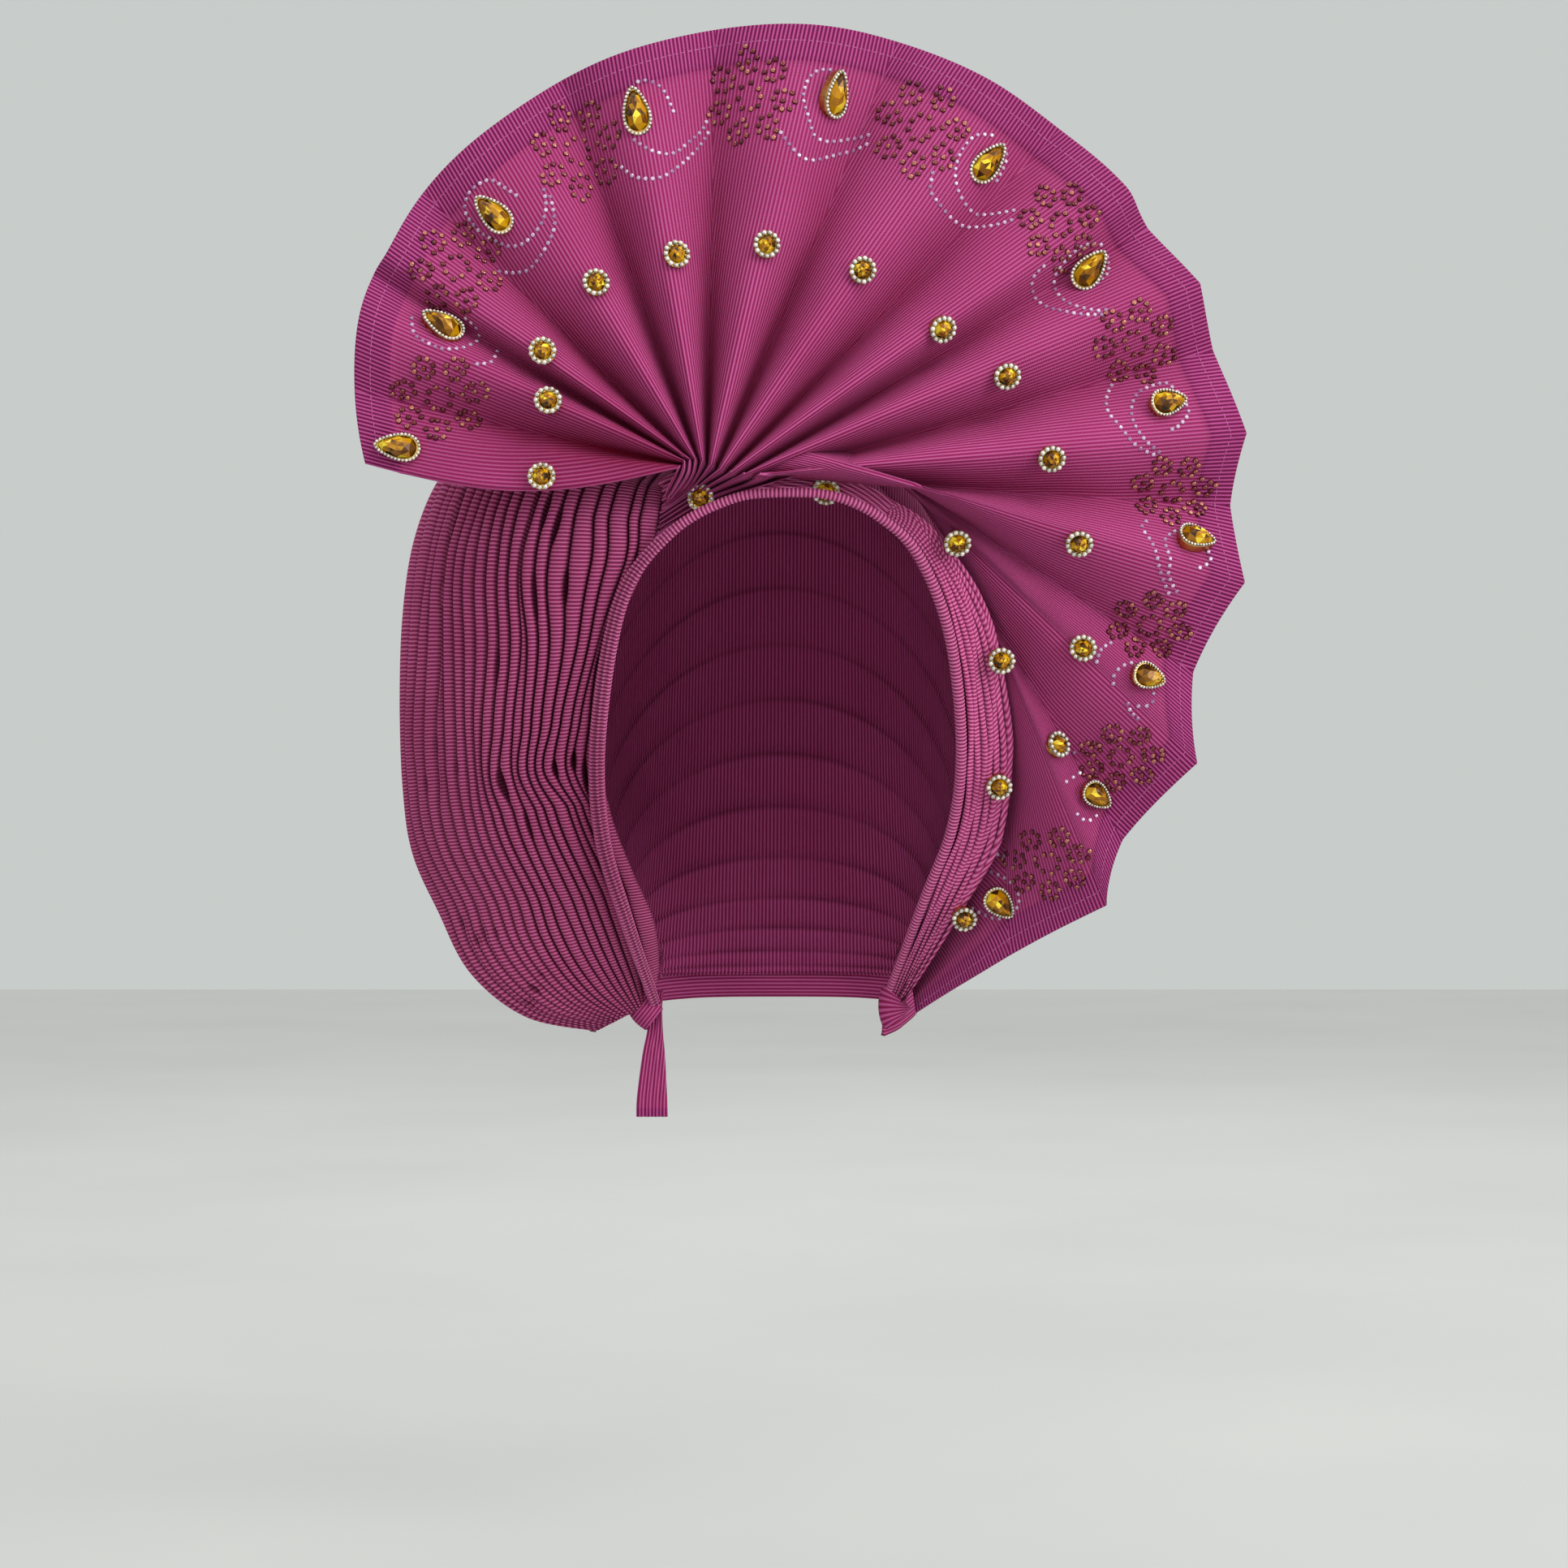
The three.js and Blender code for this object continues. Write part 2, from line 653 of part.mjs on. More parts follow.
// Best plane through points, as the slopes of y against x and z.
function planeNormal(points) {
  const centre = points.reduce((sum, p) => sum.add(p), new THREE.Vector3());
  centre.divideScalar(points.length);
  let [xx, xz, zz, xy, zy] = [0, 0, 0, 0, 0];
  for (const p of points) {
    const d = p.clone().sub(centre);
    xx += d.x * d.x;
    xz += d.x * d.z;
    zz += d.z * d.z;
    xy += d.x * d.y;
    zy += d.z * d.y;
  }
  const det = xx * zz - xz * xz;
  const slopeX = (xy * zz - zy * xz) / det;
  const slopeZ = (zy * xx - xy * xz) / det;
  return new THREE.Vector3(slopeX, -1, slopeZ).normalize();
}

// Places inside a stone's outline, drawn on the plane of its two axes.
function placesInside(outline, centre, side, long, size) {
  return STONE_RINGS.flatMap((ring) =>
    outline.map(([u, v]) =>
      centre
        .clone()
        .addScaledVector(side, (ring * u * size.width) / 2)
        .addScaledVector(long, (ring * v * size.length) / 2),
    ),
  );
}

// Long and side axes of a stone that points away from the pinch.
function stoneAxes(place, normal) {
  const away = new THREE.Vector3(place.x - PINCH_X, 0, place.z - PINCH_Z);
  const long = away.addScaledVector(normal, -away.dot(normal)).normalize();
  return { long, side: long.clone().cross(normal) };
}

function makeStone(name, cloths, place, size, sides, pointed) {
  const centre = new THREE.Vector3(place.x, 0, place.z);
  const dense = stoneOutline(sides * STONE_DENSE, pointed);
  const flat = stoneAxes(place, new THREE.Vector3(0, -1, 0));
  const first = clothBehind(cloths, placesInside(dense, centre, flat.side, flat.long, size));
  const normal = planeNormal(first);
  const { long, side } = stoneAxes(place, normal);
  const under = clothBehind(cloths, placesInside(dense, centre, side, long, size));
  const most = Math.max(...under.map((p) => p.dot(normal)));
  centre.y = (most + SEAT_GAP - normal.x * centre.x - normal.z * centre.z) / normal.y;
  const levels = [
    [1, 0],
    [1, SETTING_SHARE],
    [GIRDLE_SHARE, SETTING_SHARE],
    [TABLE_SHARE, 1],
  ];
  const outline = stoneOutline(sides, pointed);
  const points = [];
  for (const [scale, height] of levels) {
    for (const [u, v] of outline) {
      points.push(
        centre
          .clone()
          .addScaledVector(side, (scale * u * size.width) / 2)
          .addScaledVector(long, (scale * v * size.length) / 2)
          .addScaledVector(normal, height * size.height),
      );
    }
  }
  const index = [];
  for (let level = 0; level + 1 < levels.length; level += 1) {
    for (let s = 0; s < sides; s += 1) {
      const [a, b] = [level * sides + s, level * sides + ((s + 1) % sides)];
      index.push(a, b, b + sides, a, b + sides, a + sides);
    }
  }
  const top = (levels.length - 1) * sides;
  for (let s = 1; s + 1 < sides; s += 1) {
    index.push(0, s + 1, s, top, top + s, top + s + 1);
  }
  return piece(name, solid(points, index), STONE_COLOUR, STONE_ROUGHNESS, STONE_METALNESS);
}

const numbered = (stem, i) => `${stem}_${String(i + 1).padStart(2, "0")}`;

function makeStones(fanCloth, browCloth) {
  const tear = { width: TEAR_WIDTH, length: TEAR_LENGTH, height: TEAR_HEIGHT };
  const round = { width: ROUND_WIDTH, length: ROUND_WIDTH, height: ROUND_HEIGHT };
  const rounds = [
    ...FAN_STONES.map((place) => ({ place, cloths: [fanCloth] })),
    ...BROW_STONES.map((place) => ({ place, cloths: [browCloth] })),
    ...CHEEK_STONES.map((place) => ({ place, cloths: [fanCloth, browCloth] })),
  ];
  return [
    ...TEAR_STONES.map((place, i) =>
      makeStone(numbered("teardrop_stone", i), [fanCloth], place, tear, TEAR_SIDES, true),
    ),
    ...rounds.map(({ place, cloths }, i) =>
      makeStone(numbered("round_stone", i), cloths, place, round, ROUND_SIDES, false),
    ),
  ];
}

const group = new THREE.Group();
group.name = "gele_head_tie";
const fan = makeFan();
const brow = makeBrow();
group.add(...GORES.map(makeGore), makeRoll(), brow, fan, makeWrap(), makeStrap(), makeTail());
group.add(...makeStones(fan, brow));

export default group;
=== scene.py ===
"""Looks of a tied gele head tie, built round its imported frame.

Tables are in millimetres in the part's frame: +X is the photo's right, +Y the back of the head and
+Z up. Meshes are in metres.
"""

import logging
from dataclasses import dataclass, field
from enum import Enum
from typing import Sequence, Union

import bpy
import numpy as np
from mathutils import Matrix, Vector
from mathutils.bvhtree import BVHTree


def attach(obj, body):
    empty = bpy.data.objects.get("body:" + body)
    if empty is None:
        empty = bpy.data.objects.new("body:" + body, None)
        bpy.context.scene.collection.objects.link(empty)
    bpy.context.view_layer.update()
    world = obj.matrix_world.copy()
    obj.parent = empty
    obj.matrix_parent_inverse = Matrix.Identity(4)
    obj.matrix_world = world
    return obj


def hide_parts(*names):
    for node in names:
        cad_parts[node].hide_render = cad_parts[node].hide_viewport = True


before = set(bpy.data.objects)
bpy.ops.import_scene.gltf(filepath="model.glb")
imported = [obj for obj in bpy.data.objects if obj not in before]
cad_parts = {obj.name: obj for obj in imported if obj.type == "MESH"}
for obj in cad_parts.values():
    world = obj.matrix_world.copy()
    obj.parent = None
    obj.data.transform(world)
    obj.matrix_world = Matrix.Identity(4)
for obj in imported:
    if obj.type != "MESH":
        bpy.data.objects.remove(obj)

Array = np.ndarray
Piece = bpy.types.Object
Span = tuple[float, float]
Row = tuple[float, ...]
Colour = tuple[float, float, float]
Place = tuple[float, float, float]
Rings = tuple[Row, ...]
Socket = bpy.types.NodeSocket
Value = Union[float, Colour, Socket]

LOG = logging.getLogger("gele")
MM = 0.001
TURN = 2.0 * np.pi
FRONT = np.array([0.0, -1.0, 0.0])
HEAD_MIDDLE = np.array([0.0, 5.0, -125.0])
FACE_MIDDLE = np.array([0.0, 0.0, -135.0])
NO_HEM = 300.0
RIM_STEP = 0.02
BLOTCHES_IN_METRE = 22.0
FIBRES_IN_METRE = 1900.0
TONE_WANDER = 0.3
TONE_STRIDE = 0.37
DROP_TAPER = 0.55
DROP_WIDEST = 0.764
SEED = 11
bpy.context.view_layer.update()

# Fold lines of the fan: angle, reach, hem y, root x, root y, root z, half-depth of the pleat.
FOLDS = np.array([
    [177.0, 120.5, -80, -35.0, -90, -37.2, 0],
    [165.4, 128.4, -77, -34.4, -89, -36.3, 6],
    [154.5, 136.4, -75, -33.6, -89, -34.9, 7],
    [147.5, 139.5, -73, -32.6, -89, -35.2, 6],
    [143.0, 140.6, -72, -31.6, -89, -34.6, 7],
    [133.6, 145.4, -70, -30.6, -89, -35.2, 8],
    [119.8, 150.2, -67, -29.6, -89, -34.4, 9],
    [108.9, 154.8, -65, -28.4, -89, -35.4, 9],
    [99.1, 159.9, -64, -27.0, -89, -34.8, 9],
    [88.3, 165.2, -62, -25.6, -89, -36.4, 9],
    [76.5, 172.5, -61, -24.0, -89, -36.2, 9],
    [66.1, 176.4, -61, -22.4, -89, -37.9, 9],
    [54.8, 181.1, -60, -20.8, -89, -38.0, 9],
    [44.9, 184.1, -59, -18.9, -89, -39.4, 9],
    [34.9, 189.0, -59, -16.9, -89, -39.2, 9],
    [30.0, 188.2, -59, -14.6, -89, -40.4, 8],
    [22.0, 195.5, -58, -12.3, -89, -40.0, 9],
    [15.0, 193.9, -56, -9.5, -89, -41.2, 9],
    [5.5, 199.6, -54, -6.3, -89, -40.3, 10],
    [-1.9, 194.0, -52, 0.6, -89, -40.0, 8],
    [-10.0, 201.8, -50, 21.8, -87, -36.0, 9],
    [-20.4, 193.4, -44, 43.0, -79, -39.2, 8],
    [-29.0, 208.6, -40, 61.5, -58, -56.5, 8],
    [-39.6, 203.2, -30, 66.0, -54, -68.0, 5],
    [-45.7, 215.5, -24, 74.0, -43, -82.0, 7],
    [-56.4, 208.6, -10, 84.0, -14, -128.0, 6],
    [-67.7, 213.5, 24, 52.0, 29, -230.0, 0],
])
PINCH = np.array([-28.1, -41.2])

# How the folds turn below the pinch: fold, then x, y, z of the bend, of the low point and of the end.
TAILS = np.array([
    [0, -37.8, -88, -41.1, -39.9, -85, -44.9, -40.7, -81, -47.2],
    [2, -33.8, -90, -39.0, -36.7, -87, -44.0, -39.6, -82, -47.5],
    [4, -32.3, -90, -39.6, -35.2, -86, -44.0, -38.7, -80, -47.8],
    [8, -29.1, -83, -39.4, -32.9, -76, -44.0, -41.0, -72, -49.5],
    [12, -26.5, -77, -41.2, -31.7, -74, -45.1, -43.0, -70, -52.1],
    [16, -20.7, -78, -43.1, -29.4, -74, -47.2, -43.2, -69, -55.6],
    [20, 0.2, -83, -41.7, -23.0, -75, -48.5, -43.2, -69, -59.0],
])

# Centre line of the rolled edge round the face: x, y, z, radius.
RIM = np.array([
    [-48.5, 33.0, -236.0, 2.0],
    [-58.8, 3.0, -201.0, 2.6],
    [-67.0, -18.0, -168.0, 2.9],
    [-66.8, -41.0, -130.0, 2.9],
    [-57.0, -65.7, -83.0, 2.6],
    [-38.8, -75.6, -59.5, 1.9],
    [-17.3, -81.2, -48.1, 1.7],
    [1.6, -83.0, -45.8, 1.7],
    [20.4, -82.4, -47.2, 1.7],
    [37.0, -78.8, -54.8, 1.8],
    [51.0, -72.4, -68.6, 1.9],
    [62.5, -59.0, -97.0, 2.0],
    [67.6, -38.1, -136.2, 2.0],
    [65.2, -19.5, -166.0, 2.0],
    [55.5, -1.5, -194.0, 1.9],
    [42.0, 31.0, -234.0, 1.6],
])

# Band of ropes outside the roll: place along the rim, width, recess, fall toward the back.
BROW = np.array([
    [4.75, 11, 7.0, 0.10],
    [5.3, 16, 7.0, 0.10],
    [6.0, 13, 7.5, 0.10],
    [7.0, 7, 7.5, 0.10],
    [8.0, 6, 7.5, 0.10],
    [9.0, 6, 6.0, 0.15],
    [10.0, 9, 4.0, 0.25],
    [11.0, 15, 1.0, 0.35],
    [12.0, 17, 0.0, 0.35],
    [13.0, 17, 0.0, 0.35],
    [14.0, 13, 0.0, 0.35],
    [14.93, 5, 0.0, 0.30],
])

# Hoops of the crown cap: top y, top z, half width, forward bow.
HOOPS = np.array([
    [-72, -36, 69, 16],
    [-50, -10, 76, 10],
    [-10, 3, 80, 4],
    [40, -8, 80, 0],
    [80, -45, 78, 0],
    [100, -95, 72, 0],
    [98, -145, 64, 0],
    [86, -190, 57, 0],
    [77, -216, 52, 0],
    [74, -227, 51, 0],
], dtype=float)

# Sections of the side wrap: front x, y, z, widest x, y, z, place of its back edge on the cap's hoops.
WRAP = np.array([
    [-39.0, -59.0, -35.0, -68.0, -14.0, -38.0, 2.2],
    [-42.0, -64.0, -37.0, -93.0, 2.0, -22.0, 3.0],
    [-44.5, -68.0, -40.5, -114.0, 7.0, -21.0, 3.6],
    [-46.5, -71.0, -45.0, -128.7, 8.0, -34.4, 4.1],
    [-51.0, -72.0, -62.0, -138.4, 8.0, -58.2, 4.6],
    [-62.5, -61.0, -88.5, -143.1, 9.0, -87.2, 5.1],
    [-69.5, -47.0, -116.0, -144.6, 10.0, -120.0, 5.6],
    [-72.0, -31.5, -144.0, -144.3, 12.0, -149.7, 6.1],
    [-71.0, -15.0, -170.0, -141.2, 14.0, -176.2, 6.6],
    [-67.0, 0.0, -192.0, -131.8, 18.0, -199.7, 7.0],
    [-61.5, 13.0, -211.0, -119.8, 24.0, -223.8, 7.4],
    [-57.0, 24.0, -225.5, -99.0, 31.0, -241.0, 7.7],
    [-53.6, 32.5, -237.5, -72.0, 37.0, -247.0, 7.95],
])

# Crevices between ropes of the side wrap: place along the wrap's table, then shares from the face out.
CREVICES = np.array([
    [3.63, -0.06, 0.019, 0.064, 0.147, 0.208, 0.288, 0.352, 0.415, 0.463, 0.470,
     0.534, 0.582, 0.628, 0.673, 0.709, 0.752, 0.798, 0.805, 0.851, 0.889, 0.945],
    [4.36, -0.08, -0.023, 0.013, 0.092, 0.155, 0.251, 0.337, 0.392, 0.451, 0.459,
     0.507, 0.554, 0.605, 0.654, 0.706, 0.749, 0.789, 0.797, 0.849, 0.881, 0.942],
    [5.39, -0.07, -0.008, 0.004, 0.050, 0.103, 0.167, 0.234, 0.287, 0.340, 0.368,
     0.420, 0.476, 0.530, 0.588, 0.644, 0.694, 0.750, 0.758, 0.833, 0.886, 0.939],
    [6.40, -0.08, -0.012, 0.037, 0.079, 0.134, 0.180, 0.233, 0.282, 0.328, 0.375,
     0.423, 0.479, 0.536, 0.578, 0.622, 0.669, 0.733, 0.775, 0.845, 0.909, 0.960],
    [6.99, -0.08, 0.006, 0.062, 0.102, 0.161, 0.219, 0.261, 0.302, 0.351, 0.383,
     0.448, 0.501, 0.539, 0.571, 0.613, 0.672, 0.732, 0.773, 0.847, 0.898, 0.959],
    [7.51, -0.11, -0.026, -0.015, 0.028, 0.069, 0.107, 0.177, 0.229, 0.277, 0.333,
     0.392, 0.460, 0.507, 0.557, 0.606, 0.658, 0.722, 0.785, 0.841, 0.902, 0.954],
    [8.82, -0.20, -0.113, -0.101, -0.089, -0.038, 0.015, 0.083, 0.137, 0.200, 0.272,
     0.326, 0.384, 0.442, 0.505, 0.563, 0.626, 0.684, 0.752, 0.810, 0.866, 0.926],
    [9.53, -0.24, -0.121, -0.111, -0.101, -0.055, 0.002, 0.063, 0.125, 0.187, 0.251,
     0.328, 0.395, 0.456, 0.523, 0.584, 0.641, 0.708, 0.782, 0.836, 0.890, 0.948],
])

# Heights of those ropes, relative.
ROPE_HEIGHTS = np.array([
    0.5, 0.8, 0.9, 1.0, 1.0, 1.1, 1.0, 1.0, 0.6, 1.0, 1.0, 1.0, 0.9, 1.0, 1.0, 1.0, 0.5, 1.1, 0.8, 1.0, 1.0,
])

# Gaps between ropes of the side wrap, in the photo's pixels: across, down, half width, half height.
ROPE_GAPS = np.array([
    [622, 966, 4.2, 22], [690, 947, 3.2, 13], [704, 938, 2.8, 14], [720, 958, 2.4, 26], [533, 918, 1.2, 16],
    [557, 946, 1.6, 12], [522, 966, 1.2, 14], [567, 1137, 1.6, 12], [590, 1157, 1.8, 9], [600, 1147, 1.5, 10],
    [616, 1147, 2.0, 9], [671, 1197, 3.0, 7], [660, 1216, 4.2, 10], [654, 1232, 2.6, 8], [704, 724, 2.4, 26],
    [653, 735, 1.8, 34], [540, 730, 1.6, 24], [692, 650, 2.4, 28], [675, 630, 2.0, 25], [610, 820, 1.6, 24],
    [655, 1015, 1.6, 22], [565, 640, 1.8, 36],
])

# Strap behind the neck: x, y, z.
STRAP = np.array([
    [41.5, 29.0, -243.0],
    [49.0, 40.0, -240.0],
    [55.4, 59.4, -233.5],
    [36.0, 74.4, -231.0],
    [0.0, 76.8, -230.5],
    [-36.0, 74.4, -231.0],
    [-55.4, 59.4, -233.5],
    [-53.5, 41.0, -241.5],
])

# Free tail: x, y, z, width.
TAIL = np.array([
    [-47.6, 36.5, -231.5, 4.0],
    [-48.5, 37.4, -238.0, 5.0],
    [-48.8, 37.0, -247.0, 6.2],
    [-49.3, 35.7, -256.4, 8.9],
    [-49.9, 35.0, -272.3, 11.8],
    [-49.9, 35.0, -280.5, 12.4],
])

# Teardrops as seen: turn from the line to the pinch, share of the length, tilt outward, roll, lift.
TEARDROPS = np.array([
    [0, 0.90, 0, 0, 0.4],
    [0, 0.90, 0, -32, 0.8],
    [8, 0.92, 0, 0, 0.4],
    [0, 0.95, 0, 0, 0.4],
    [8, 0.95, 0, -46, 0.8],
    [2, 0.92, 0, -12, 0.4],
    [22, 0.90, 0, 0, 2.6],
    [4, 0.76, 18, 8, 0.8],
    [0, 0.76, 18, 38, 0.8],
    [6, 0.70, 18, 8, 1.2],
    [2, 0.68, 18, 8, 1.4],
    [8, 0.74, 12, 0, 3.0],
])

# Bands that bind the gathered ends: start x, y, z, end x, y, z, half length, half depth, first and last turn.
BINDINGS = np.array([
    [-56.3, 38.5, -233.4, -49.1, 34.0, -242.3, 7.1, 5.0, 49.0, 49.0],
    [45.0, 30.0, -231.8, 45.3, 31.0, -243.3, 6.8, 4.8, -38.0, 36.0],
])

# Stud flowers on the fan: x, z of the middle, turn of the first petal in degrees, scale across, scale up.
FLOWERS = np.array([
    [-121.8, -11.6, 10, 1.05, 0.86], [-115.9, 35.8, 30, 0.97, 1.00], [-72.9, 79.4, 19, 0.94, 1.08],
    [-10.2, 98.6, 44, 0.93, 1.08], [51.3, 87.1, 0, 0.98, 1.06], [102.0, 52.6, 15, 0.84, 0.95],
    [129.7, 10.2, 35, 0.90, 0.86], [144.1, -42.8, 10, 0.90, 0.72], [136.4, -91.7, 37, 0.90, 0.70],
    [126.7, -140.0, 5, 0.90, 0.70], [100.6, -179.8, 20, 0.90, 0.80],
])

# Lines of crystals on the fan: x, z along each line.
SWAGS = tuple(np.array(line).reshape(-1, 2) for line in (
    (-131.8, 17.3, -131, 12.3, -128.3, 9.3, -122.1, 6.1, -117.7, 5.5,
     -112.7, 6.4, -108.3, 9.6, -108.3, 13.4, -112.4, 17.3),
    (-107.7, -0.1, -104.7, 0.2, -102.4, 1.4, -101.2, 5.5),
    (-94.4, 61.5, -98.6, 64.4, -104.2, 67.6, -110, 65, -113, 60.9, -113, 56.1, -108.3, 49.7,
     -102.1, 45.8, -96.5, 43.5, -91.5, 44.4, -87.1, 48.2, -84.4, 52.6, -83.5, 57.3, -84.4, 63.5),
    (-100.9, 35.2, -94.7, 34.4, -89.7, 35.2, -85.6, 39.4, -82.1, 45, -80.3, 50.6, -81.2, 57.3, -82.1, 60.9),
    (-50.9, 103.6, -47.6, 104.2, -44.1, 103, -41.4, 100.3, -39.7, 96.8, -38.2, 93.3),
    (-52, 81.8, -47, 78.2, -41.1, 76.5, -36.7, 77.9, -32.3, 82.4, -28.2, 86.8, -26.4, 90.6),
    (-56.5, 72.1, -52, 68.2, -46.4, 67, -41.1, 68.2, -35.2, 73.2, -29.1, 80.6, -25.8, 86.5),
    (18.6, 108.9, 13.9, 108.3, 10.4, 104.4, 8.9, 97.7, 10.7, 90.6,
     12.5, 84.4, 16, 82.4, 20.7, 82.9, 26, 84.4, 32.5, 85.9),
    (0.7, 84.4, 4.8, 78.8, 8.3, 75.6, 12.2, 75, 17.5, 76.8, 22.5, 78.8, 29.2, 81.2, 31.9, 82.4),
    (77.3, 85.6, 72, 85.3, 67.8, 81.8, 64.9, 76.5, 63.7, 71.2,
     64.3, 66.2, 66.6, 61.5, 70.8, 57.6, 76.7, 57, 85.2, 58.2),
    (55.5, 70.3, 54.6, 64.1, 57.5, 59.7, 63.1, 54.4, 69.3, 52.3, 77.8, 52.6, 84.3, 54.4),
    (82.8, 79.4, 82.3, 75.9, 79.3, 69.7),
    (117.3, 46.4, 113.2, 46.4, 109.1, 44.7, 103.2, 39.1, 100.2, 34.1,
     101.1, 28.8, 104.3, 24.6, 109.6, 22.3, 115.5, 21.1, 118.2, 21.4),
    (95.8, 37.3, 92.3, 33.8, 91.7, 29.9, 94.3, 25.2, 98.5, 22.3, 104.9, 20.5, 110.5, 19.6, 116.7, 19.6),
    (119.7, 42.3, 119.7, 36.4, 115.8, 32),
    (145, -7.2, 141.5, -3.9, 137.9, -4.2, 131.7, -6.9, 128.5, -11.6,
     127.9, -16.9, 129.7, -21.6, 133.5, -26.3, 137.9, -29.5),
    (121.4, -4.5, 119.1, -9.8, 119.4, -15.4, 122.9, -20.1, 128.2, -26.6, 132, -29, 135.9, -30.4),
    (147, -10.1, 148.8, -15.1, 145.3, -19.8, 142.6, -21.3),
    (144.4, -57.8, 140.9, -60.2, 140.6, -63.1, 142.3, -68.7, 141.7, -72.8, 143.2, -76.7, 145.3, -79.6),
    (133.8, -54.3, 132, -56.9, 135.3, -62.2, 137.3, -67.8, 138.5, -72.3, 140.6, -77, 142.3, -80.2),
    (156.8, -65.2, 157.4, -68.7, 153.5, -71.1),
    (129.4, -105.5, 125.5, -107, 122.9, -109.9, 122.6, -113.2),
    (128.2, -120.5, 129.4, -123.5, 132, -125.9),
    (121.7, -98.2, 117.9, -100.8, 116.4, -105.2),
    (137.6, -116.7, 136.7, -120.8, 132, -121.4),
    (112, -145.9, 109.6, -147.3, 106.7, -149.1),
    (112.6, -138.2, 107, -138.5),
    (117.3, -148.8, 120, -150.9, 121.1, -155.6),
    (110.8, -161.2, 114.4, -163.8, 118.2, -161.8),
    (75.5, -183.6, 80.5, -183.6, 86.4, -186.2, 90.2, -190.3, 90.8, -195.6,
     87.6, -200.1, 82.8, -201.2, 78.1, -199.8, 74, -197.7),
    (78.4, -175.6, 85.5, -177.4),
))


def linear(red: float, green: float, blue: float) -> Colour:
    """Turn an 8-bit screen colour into linear light."""
    screen = np.array([red, green, blue]) / 255.0
    return tuple(np.where(screen <= 0.04045, screen / 12.92, ((screen + 0.055) / 1.055) ** 2.4).tolist())


def unit(vectors: Array) -> Array:
    """Scale vectors to a length of one."""
    return vectors / np.maximum(np.linalg.norm(vectors, axis=-1, keepdims=True), 1e-9)


def catmull(rows: Array, at: Array) -> Array:
    """Read table rows at places between them, on a Catmull-Rom curve through the rows.

    Args:
        rows: one row for each station.
        at: places counted in rows.

    Returns:
        A row of smooth values for each place.
    """
    last = len(rows) - 1
    first = np.clip(np.floor(at).astype(int), 0, last - 1)
    part = (at - first)[..., None]
    a, b, c, d = (rows[np.clip(first + step, 0, last)] for step in (-1, 0, 1, 2))
    bend = 2 * a - 5 * b + 4 * c - d + part * (3 * (b - c) + d - a)
    return b + 0.5 * part * (c - a + part * bend)


def run_length(points: Array, axis: int) -> Array:
    """Measure the length from the first point to each point along one axis of a grid."""
    steps = np.linalg.norm(np.diff(points, axis=axis), axis=-1)
    return np.insert(np.cumsum(steps, axis=axis), 0, 0.0, axis=axis)


def surface_normals(grid: Array, outward: Array) -> Array:
    """Cross a grid's two central differences into unit normals, on the side that outward shows."""
    normal = unit(np.cross(np.gradient(grid, axis=0), np.gradient(grid, axis=1)))
    return normal * np.where(np.sum(normal * outward, axis=-1, keepdims=True) < 0, -1, 1)


def step_up(values: Array, low: float, high: float) -> Array:
    """Rise smoothly from 0 at low to 1 at high, as 3t^2 - 2t^3."""
    share = np.clip((values - low) / (high - low), 0, 1)
    return share * share * (3 - 2 * share)


def at_lengths(line: Array, run: Array, stops: Array) -> Array:
    """Read a line's rows of values at given stops along its run."""
    return np.stack([np.interp(stops, run, values) for values in line.T], -1)


def spins(angle: Array) -> Array:
    """Give the matrices that turn flat points by the angles."""
    near, far = np.cos(angle), np.sin(angle)
    return np.stack([np.stack([near, far], -1), np.stack([-far, near], -1)], 1)


def plain_zone(crevice: Array) -> Array:
    """Pair each share of painted crevice shade with a distance that is clear of any hem."""
    return np.stack([np.full_like(crevice, NO_HEM), crevice], -1)


def grid_quads(rows: int, columns: int) -> Array:
    """Number the corners of the cells of a grid, row by row."""
    first = np.arange(rows - 1)[:, None] * columns + np.arange(columns - 1)
    return np.stack([first, first + 1, first + columns + 1, first + columns], -1).reshape(-1, 4)


def tube_quads(stations: int, sides: int) -> Array:
    """Number the corners of the cells of a tube that closes round its sides."""
    base = np.arange(stations - 1)[:, None] * sides
    here = np.arange(sides)
    there = (here + 1) % sides
    cells = np.stack([base + here, base + there, base + there + sides, base + here + sides], -1)
    return cells.reshape(-1, 4)


def cell_corners(values: Array) -> Array:
    """Copy values on a grid to the four corners of each of its cells.

    Args:
        values: rows, then panels where there are any, then columns, then the values.

    Returns:
        Cells, four corners, and the values.
    """
    near, far = values[:-1], values[1:]
    corners = [near[..., :-1, :], near[..., 1:, :], far[..., 1:, :], far[..., :-1, :]]
    return np.stack(corners, -2).reshape(-1, 4, values.shape[-1])


